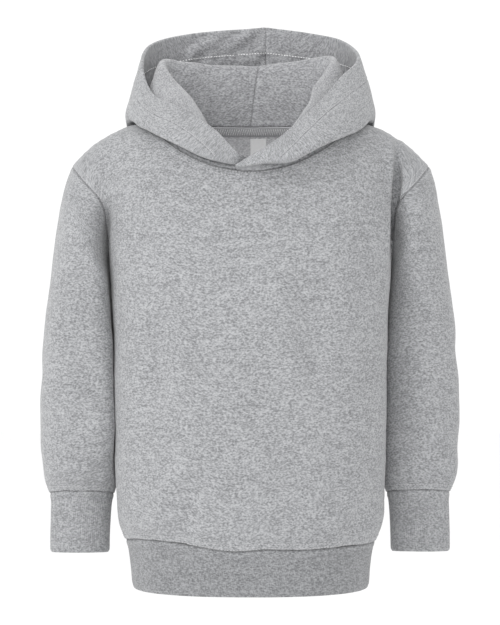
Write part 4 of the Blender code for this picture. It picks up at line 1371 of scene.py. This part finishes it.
class HoodieStageSettings(bpy.types.PropertyGroup):
    camera_distance: size("Camera distance", "From it to the garment's middle", 1.7, 0.5, 10.0)
    view_height: size("View height", "Height in view at the garment's middle", 0.575, 0.1, 5.0)
    floor_depth: size("Floor depth", "How far the floor lies below the neck", 0.8, 0.45, 3.0)
    sky_strength: FloatProperty(
        name="Even light",
        description="Strength of the white light from all round",
        default=1.04,
        min=0.0,
        max=5.0,
    )
    side_power: power("Side light", "Power of the soft light above and to the left", 18.0)
    front_power: power("Front light", "Power of the soft light at the camera's height", 12.5)
    low_power: power("Low light", "Power of the soft light below the camera", 0.5)


# ---- the cloth pieces
def loft(points, form):
    """How unevenly the soft cloth lies between its creases."""
    waves = zip(LOFT_WAVES[form], LOFT_SEEDS)
    long_waves, short_waves = (unevenness(points, wave, seed) for wave, seed in waves)
    return millimetres("loft") * (long_waves + FINE_LOFT * short_waves)


def fine_panel(face):
    """A panel's fine grid, directions, distances from each edge, and where its corners are."""
    grid, out = body_surfaces()[face]
    detail = FRONT_DETAIL if face == FRONT else BACK_DETAIL
    rows, columns = (fine_places(count, detail, NEAR_EDGE) for count in grid.shape[:2])
    fine = finer(grid, rows, columns, False)
    fine_out = unit(finer(out, rows, columns, False))
    fine[..., 2] += hem_wave(fine)
    underarm = int(np.searchsorted(rows, SIDE_ROWS))
    neck = [int(np.searchsorted(columns, SHOULDER_COLUMNS))]
    neck.append(fine.shape[1] - 1 - neck[0])
    edges = {
        "neck": fine[-1, neck[0] : neck[1] + 1],
        "hem": fine[0],
        "first_side": fine[: underarm + 1, 0],
        "last_side": fine[: underarm + 1, -1],
        "first_arm": fine[underarm:, 0],
        "last_arm": fine[underarm:, -1],
        "first_shoulder": fine[-1, : neck[0] + 1],
        "last_shoulder": fine[-1, neck[1] :],
    }
    away = {name: nearest(fine, edge) for name, edge in edges.items()}
    return fine, fine_out, away, underarm, neck


def seams_height(name, away):
    """The dips, bands and puckers of all a piece's seams, and the distance from the nearest."""
    height, closest = 0.0, FAR
    for k, (distance, along) in enumerate(away.values()):
        raised = seam_height(distance, along, PUCKER_SEEDS[name] + NEXT_SEAM * k)
        height = np.where(distance < closest, raised, height)
        closest = np.minimum(closest, distance)
    return height, closest


def creased(points, out, creases):
    """The height of a piece's creases, which are placed as seen from one side."""
    height = 0.0
    for view, rows in creases.items():
        axis, sign = {"front": (1, -1), "back": (1, 1), "left": (0, 1), "right": (0, -1)}[view]
        facing = np.clip(sign * out[..., axis], 0, 1) ** 0.5
        height = height + facing * crease_height(rows, points[..., 1 - axis], points[..., 2])
    return height


def panel_piece(name, face):
    fine, out, away, underarm, neck = fine_panel(face)
    uneven = loft(fine, "panel")
    if face == BACK:  # it stays even where the tape and the label lie on it
        uneven *= np.clip((TRIM_TOP_Z - fine[..., 2]) / TRIM_FADE, 0, 1)
    soft = creased(fine, out, CREASES[name]) + uneven
    height, closest = seams_height(name, away)
    outer = fine + out * (soft + height)[..., None]
    inner = fine + out * (soft - FLEECE)[..., None]
    # Inside, the paler copy of the brushed back: painted light.
    looks = (fleece_face(), fleece_back("body_nap"))
    piece = shell(name, outer, inner, False, closest, (0, 0), looks)
    whole, middle, arm = slice(None), slice(neck[0], neck[1] + 1), slice(underarm, None)
    # Each seam's rows: the rows and columns of the panel that are read, and from which edge.
    seams = [
        ("neck", whole, middle, 0, True),
        ("hem", whole, whole, 0, False),
        ("first_arm", arm, whole, 1, False),
        ("last_arm", arm, whole, 1, True),
    ]
    if face == BACK:
        seams.append(("first_shoulder", whole, slice(0, neck[0]), 0, True))
        seams.append(("last_shoulder", whole, slice(neck[1] + 1, None), 0, True))
    lines = []
    for value in (FIRST_ROW, SECOND_ROW):
        for edge, rows, columns, axis, from_end in seams:
            parts = (part[rows, columns] for part in (outer, out, away[edge][0]))
            lines.append(line_in(*parts, value, axis, from_end))
    hand_over(piece, name, [topstitch(name + "_topstitching", lines)])


def tube(name, surface, details, seams, rib=None):
    """A closed tube of cloth from a coarse grid. seams says which of its ends are sewn."""
    grid, out = surface
    rows = fine_places(grid.shape[0], details[0], NEAR_EDGE)
    columns = fine_places(grid.shape[1], details[1], closed=True)
    fine = finer(grid, rows, columns, True)
    out = unit(finer(out, rows, columns, True))
    if name == "waistband":
        fine[..., 2] += hem_wave(fine)
    rings = {"bottom": fine[0], "top": fine[-1]}
    away = {end: nearest(fine, np.concatenate([rings[end], rings[end][:1]])) for end in seams}
    height, closest = seams_height(name, away)
    soft = loft(fine, "tube") * (RIB_LOFT if rib else 1.0)
    soft = creased(fine, out, CREASES.get(name, {})) + soft
    outer = fine + out * (soft + height)[..., None]
    inner = fine + out * (soft - (RIB if rib else FLEECE))[..., None]
    if rib:
        inner[..., 2] = outer[..., 2]
        piece = shell(name, outer, inner, True, closest, (ROUND_EDGE, 0), [rib_knit(rib)] * 2)
        return hand_over(piece, name)
    # Inside, the paler copy of the brushed back: painted light.
    looks = (fleece_face(), fleece_back("body_nap"))
    piece = shell(name, outer, inner, True, closest, (0, 0), looks)
    lines = []
    for value in (FIRST_ROW, SECOND_ROW):
        line = line_in(outer, out, away["bottom"][0], value, 0)
        lines.append([np.concatenate([part, part[:1]]) for part in line])
    return hand_over(piece, name, [topstitch(name + "_topstitching", lines)])


def hood_piece(name, side):
    grid, neck_out = hood_surface(side)
    rows, columns = (fine_places(count, HOOD_DETAIL, NEAR_EDGE) for count in grid.shape[:2])
    fine = finer(grid, rows, columns, False)
    out = grid_normals(fine, False)
    out[0] = unit(finer(neck_out[None].repeat(2, axis=0), [0], columns, False)[0])
    seam_column = -1 if side > 0 else 0
    along_seam = np.gradient(fine[:, seam_column], axis=0)
    out[:, seam_column] = unit(np.cross((-1.0, 0.0, 0.0), along_seam))
    up, across = lengths(fine, 0), lengths(fine, 1)
    from_rim = up[-1:] - up
    from_centre = across[:, -1:] - across if side > 0 else across
    height, closest = seams_height(name, {"neck": (up, across), "centre": (from_centre, up)})
    past_tip = np.clip(up[-1:] / HEM_START - 1, 0, 1)
    turned = np.clip((HOOD_HEM - from_rim) / HEM_EDGE + 0.5, 0, 1) * past_tip
    step = np.exp(-(((from_rim - HOOD_HEM) / HEM_EDGE) ** 2)) * past_tip
    # Painted shade: the centre seam is painted no darker than at HEM_SHADE, and the turned hem's
    # stitched line gets a seam's painted shade and highlight.
    closest = np.where(from_centre < up, np.maximum(closest, HEM_SHADE), closest)
    hem_seam = np.abs(from_rim - HOOD_HEM) + HEM_SHADE + FAR * (past_tip < HEM_START_SHARE)
    closest = np.minimum(closest, hem_seam)
    soft = loft(fine, "hood") * np.clip(up / NECK_LOFT_FADE, 0, 1)
    soft = soft + crease_height(CREASES[name]["neck"], from_centre, up)
    soft += crease_height(CREASES[name]["rim"], from_centre, -from_rim)
    face = fine + out * (soft + FLEECE / 2 + height - HEM_STEP_FACE * step)[..., None]
    back = soft - FLEECE / 2 - HEM_EXTRA * turned - BACK_SEAM_SHARE * height + HEM_STEP_BACK * step
    back = fine + out * back[..., None]
    looks = (fleece_face(), fleece_back("nap"))
    piece = shell(name, face, back, False, closest, (0, TRIM_EDGE), looks)
    shown = past_tip[0] > HEM_START_SHARE
    from_edge, at = from_rim[:, shown], HOOD_HEM - FIRST_ROW
    lines = [line_in(face[:, shown], out[:, shown], from_edge, at, 0, True)]
    lines.append(line_in(face, out, from_centre, FIRST_ROW, 1, side > 0))
    rows = topstitch(name + "_topstitching", lines)
    line = line_in(back[:, shown], -out[:, shown], from_edge, at, 0, True)
    inside = topstitch(name + "_inside_stitching", [line], part="tape_thread")
    hand_over(piece, name, [rows, inside])


def trim(name, xs, zs, thickness, look, extra=()):
    """A small flat piece that lies on the inner face of the back panel."""
    inner, outer = (
        np.array([[on_back_inside(x, z, depth)[0] for x in xs] for z in zs])
        for depth in (TRIM_GAP, TRIM_GAP + thickness)
    )
    seam = np.full(outer.shape[:2], FAR)
    piece = shell(name, outer, inner, False, seam, (TRIM_EDGE, TRIM_EDGE), (look, look))
    hand_over(piece, name, extra)


# ---- the makers of the pieces
class HOODIE_OT_body_panels(bpy.types.Operator):
    """Make the front and back panels with their seams, creases and topstitching"""

    bl_idname = "hoodie.body_panels"
    bl_label = "Body panels"

    def execute(self, context):
        panel_piece("front_panel", FRONT)
        panel_piece("back_panel", BACK)
        return {"FINISHED"}


class HOODIE_OT_sleeves(bpy.types.Operator):
    """Make both sleeves, from the armholes to the cuffs"""

    bl_idname = "hoodie.sleeves"
    bl_label = "Sleeves"

    def execute(self, context):
        for side, name in ((1, "sleeve_left"), (-1, "sleeve_right")):
            details = (SLEEVE_DETAIL, SLEEVE_DETAIL)
            tube(name, sleeve_surface(side), details, ("bottom", "top"))
        return {"FINISHED"}


class HOODIE_OT_cuffs(bpy.types.Operator):
    """Make both rib cuffs"""

    bl_idname = "hoodie.cuffs"
    bl_label = "Cuffs"

    def execute(self, context):
        for side, name in ((1, "cuff_left"), (-1, "cuff_right")):
            tube(name, cuff_surface(side), (BAND_ROWS, CUFF_DETAIL), ("top",), "cuff")
        return {"FINISHED"}


class HOODIE_OT_waistband(bpy.types.Operator):
    """Make the rib waistband"""

    bl_idname = "hoodie.waistband"
    bl_label = "Waistband"

    def execute(self, context):
        tube("waistband", waistband_surface(), (BAND_ROWS, RING_DETAIL), ("top",), "band")
        return {"FINISHED"}


class HOODIE_OT_hood(bpy.types.Operator):
    """Make both halves of the lowered hood, with the turned hem round its face opening"""

    bl_idname = "hoodie.hood"
    bl_label = "Hood"

    def execute(self, context):
        hood_piece("hood_left", 1)
        hood_piece("hood_right", -1)
        return {"FINISHED"}


class HOODIE_OT_neck_trim(bpy.types.Operator):
    """Make the tape over the back neck seam, its zigzag thread and the bare label"""

    bl_idname = "hoodie.neck_trim"
    bl_label = "Neck tape and label"

    def execute(self, context):
        middle = (TAPE_TOP + TAPE_BOTTOM) / 2
        lift = TRIM_GAP + TAPE_THICKNESS + ZIGZAG_LIFT
        end = TAPE_HALF_LENGTH - ZIGZAG_SHORT
        places = np.linspace(-end, end, ZIGZAG_POINTS)
        places = [on_back_inside(x, middle, lift) for x in places]
        line = tuple(np.array(part) for part in zip(*places))
        thread = sewing_thread("tape_thread")
        zigzag = sew("neck_tape_zigzag", [line], zigzag_tree(), ZIGZAG, thread)
        xs = TAPE_HALF_LENGTH * np.arcsin(np.linspace(-1, 1, TAPE_GRID[0])) / (pi / 2)
        zs = np.linspace(TAPE_BOTTOM, TAPE_TOP, TAPE_GRID[1])
        trim("neck_tape", xs, zs, TAPE_THICKNESS, knit_tape(), [zigzag])
        xs = np.linspace(LABEL_LEFT, LABEL_RIGHT, LABEL_GRID[0])
        zs = np.linspace(LABEL_BOTTOM, LABEL_TOP, LABEL_GRID[1])
        trim("label", xs, zs, LABEL_THICKNESS, satin_label())
        return {"FINISHED"}


class HOODIE_OT_stage(bpy.types.Operator):
    """Make the pale floor, the soft light and the camera"""

    bl_idname = "hoodie.stage"
    bl_label = "Stage"

    def execute(self, context):
        scene = context.scene
        stage = scene.hoodie_stage
        depth = -stage.floor_depth
        turns = [2 * pi * k / FLOOR_SIDES for k in range(FLOOR_SIDES)]
        points = [(0.0, 0.0, depth)]
        points += [(FLOOR_RADIUS * cos(t), FLOOR_RADIUS * sin(t), depth) for t in turns]
        faces = [(0, 1 + k, 1 + (k + 1) % FLOOR_SIDES) for k in range(FLOOR_SIDES)]
        mesh = bpy.data.meshes.new("studio_floor")
        mesh.from_pydata(points, [], faces)
        mesh.materials.append(studio_paper())
        floor = bpy.data.objects.new("studio_floor", mesh)
        scene.collection.objects.link(floor)

        world = bpy.data.worlds.new("Studio light")
        world.use_nodes = True
        background = world.node_tree.nodes["Background"]
        background.inputs["Color"].default_value = (1.0, 1.0, 1.0, 1.0)
        background.inputs["Strength"].default_value = stage.sky_strength
        scene.world = world
        scene.view_settings.view_transform = "Standard"

        aim = Vector((0.0, 0.0, VIEW_CENTRE_Z))
        for name, (place, width) in SOFT_LIGHTS.items():
            light = bpy.data.lights.new(name + "_light", "AREA")
            light.shape = "DISK"
            light.size = width
            light.energy = getattr(stage, name + "_power")
            lamp = bpy.data.objects.new(name + "_light", light)
            lamp.location = place
            lamp.rotation_euler = (aim - lamp.location).to_track_quat("-Z", "Y").to_euler()
            scene.collection.objects.link(lamp)

        lens = bpy.data.cameras.new("front_view")
        lens.sensor_fit = "VERTICAL"
        lens.sensor_height = SENSOR_HEIGHT
        lens.lens = SENSOR_HEIGHT * stage.camera_distance / stage.view_height
        camera = bpy.data.objects.new("front_view", lens)
        camera.location = (VIEW_CENTRE_X, -stage.camera_distance, VIEW_CENTRE_Z)
        camera.rotation_euler = (pi / 2, 0.0, 0.0)
        scene.collection.objects.link(camera)
        scene.camera = camera
        return {"FINISHED"}


class HOODIE_PT_panel(bpy.types.Panel):
    """Sizes, colours and makers of the hoodie's pieces"""

    bl_idname = "HOODIE_PT_panel"
    bl_label = "Toddler Fleece Hoodie"
    bl_space_type = "VIEW_3D"
    bl_region_type = "UI"
    bl_category = "Hoodie"

    def draw(self, context):
        layout = self.layout
        scene = context.scene
        for settings in (scene.hoodie_cloth, scene.hoodie_colours, scene.hoodie_stage):
            box = layout.box()
            for name in type(settings).__annotations__:
                box.prop(settings, name)
        for maker in MAKERS:
            layout.operator(maker.bl_idname)


SETTINGS = {
    "hoodie_cloth": HoodieClothSettings,
    "hoodie_colours": HoodieColourSettings,
    "hoodie_stage": HoodieStageSettings,
}
MAKERS = (
    HOODIE_OT_body_panels,
    HOODIE_OT_sleeves,
    HOODIE_OT_cuffs,
    HOODIE_OT_waistband,
    HOODIE_OT_hood,
    HOODIE_OT_neck_trim,
    HOODIE_OT_stage,
)


def register():
    for kind in (*SETTINGS.values(), *MAKERS, HOODIE_PT_panel):
        bpy.utils.register_class(kind)
    for name, kind in SETTINGS.items():
        setattr(bpy.types.Scene, name, PointerProperty(type=kind))


def unregister():
    for name in SETTINGS:
        delattr(bpy.types.Scene, name)
    for kind in reversed((*SETTINGS.values(), *MAKERS, HOODIE_PT_panel)):
        bpy.utils.unregister_class(kind)


def plain(corners):
    return [[float(value) for value in corner] for corner in corners]


def main():
    register()
    bpy.ops.hoodie.body_panels()
    bpy.ops.hoodie.sleeves()
    bpy.ops.hoodie.cuffs()
    bpy.ops.hoodie.waistband()
    bpy.ops.hoodie.hood()
    bpy.ops.hoodie.neck_trim()
    bpy.ops.hoodie.stage()


if __name__ == "__main__":
    main()
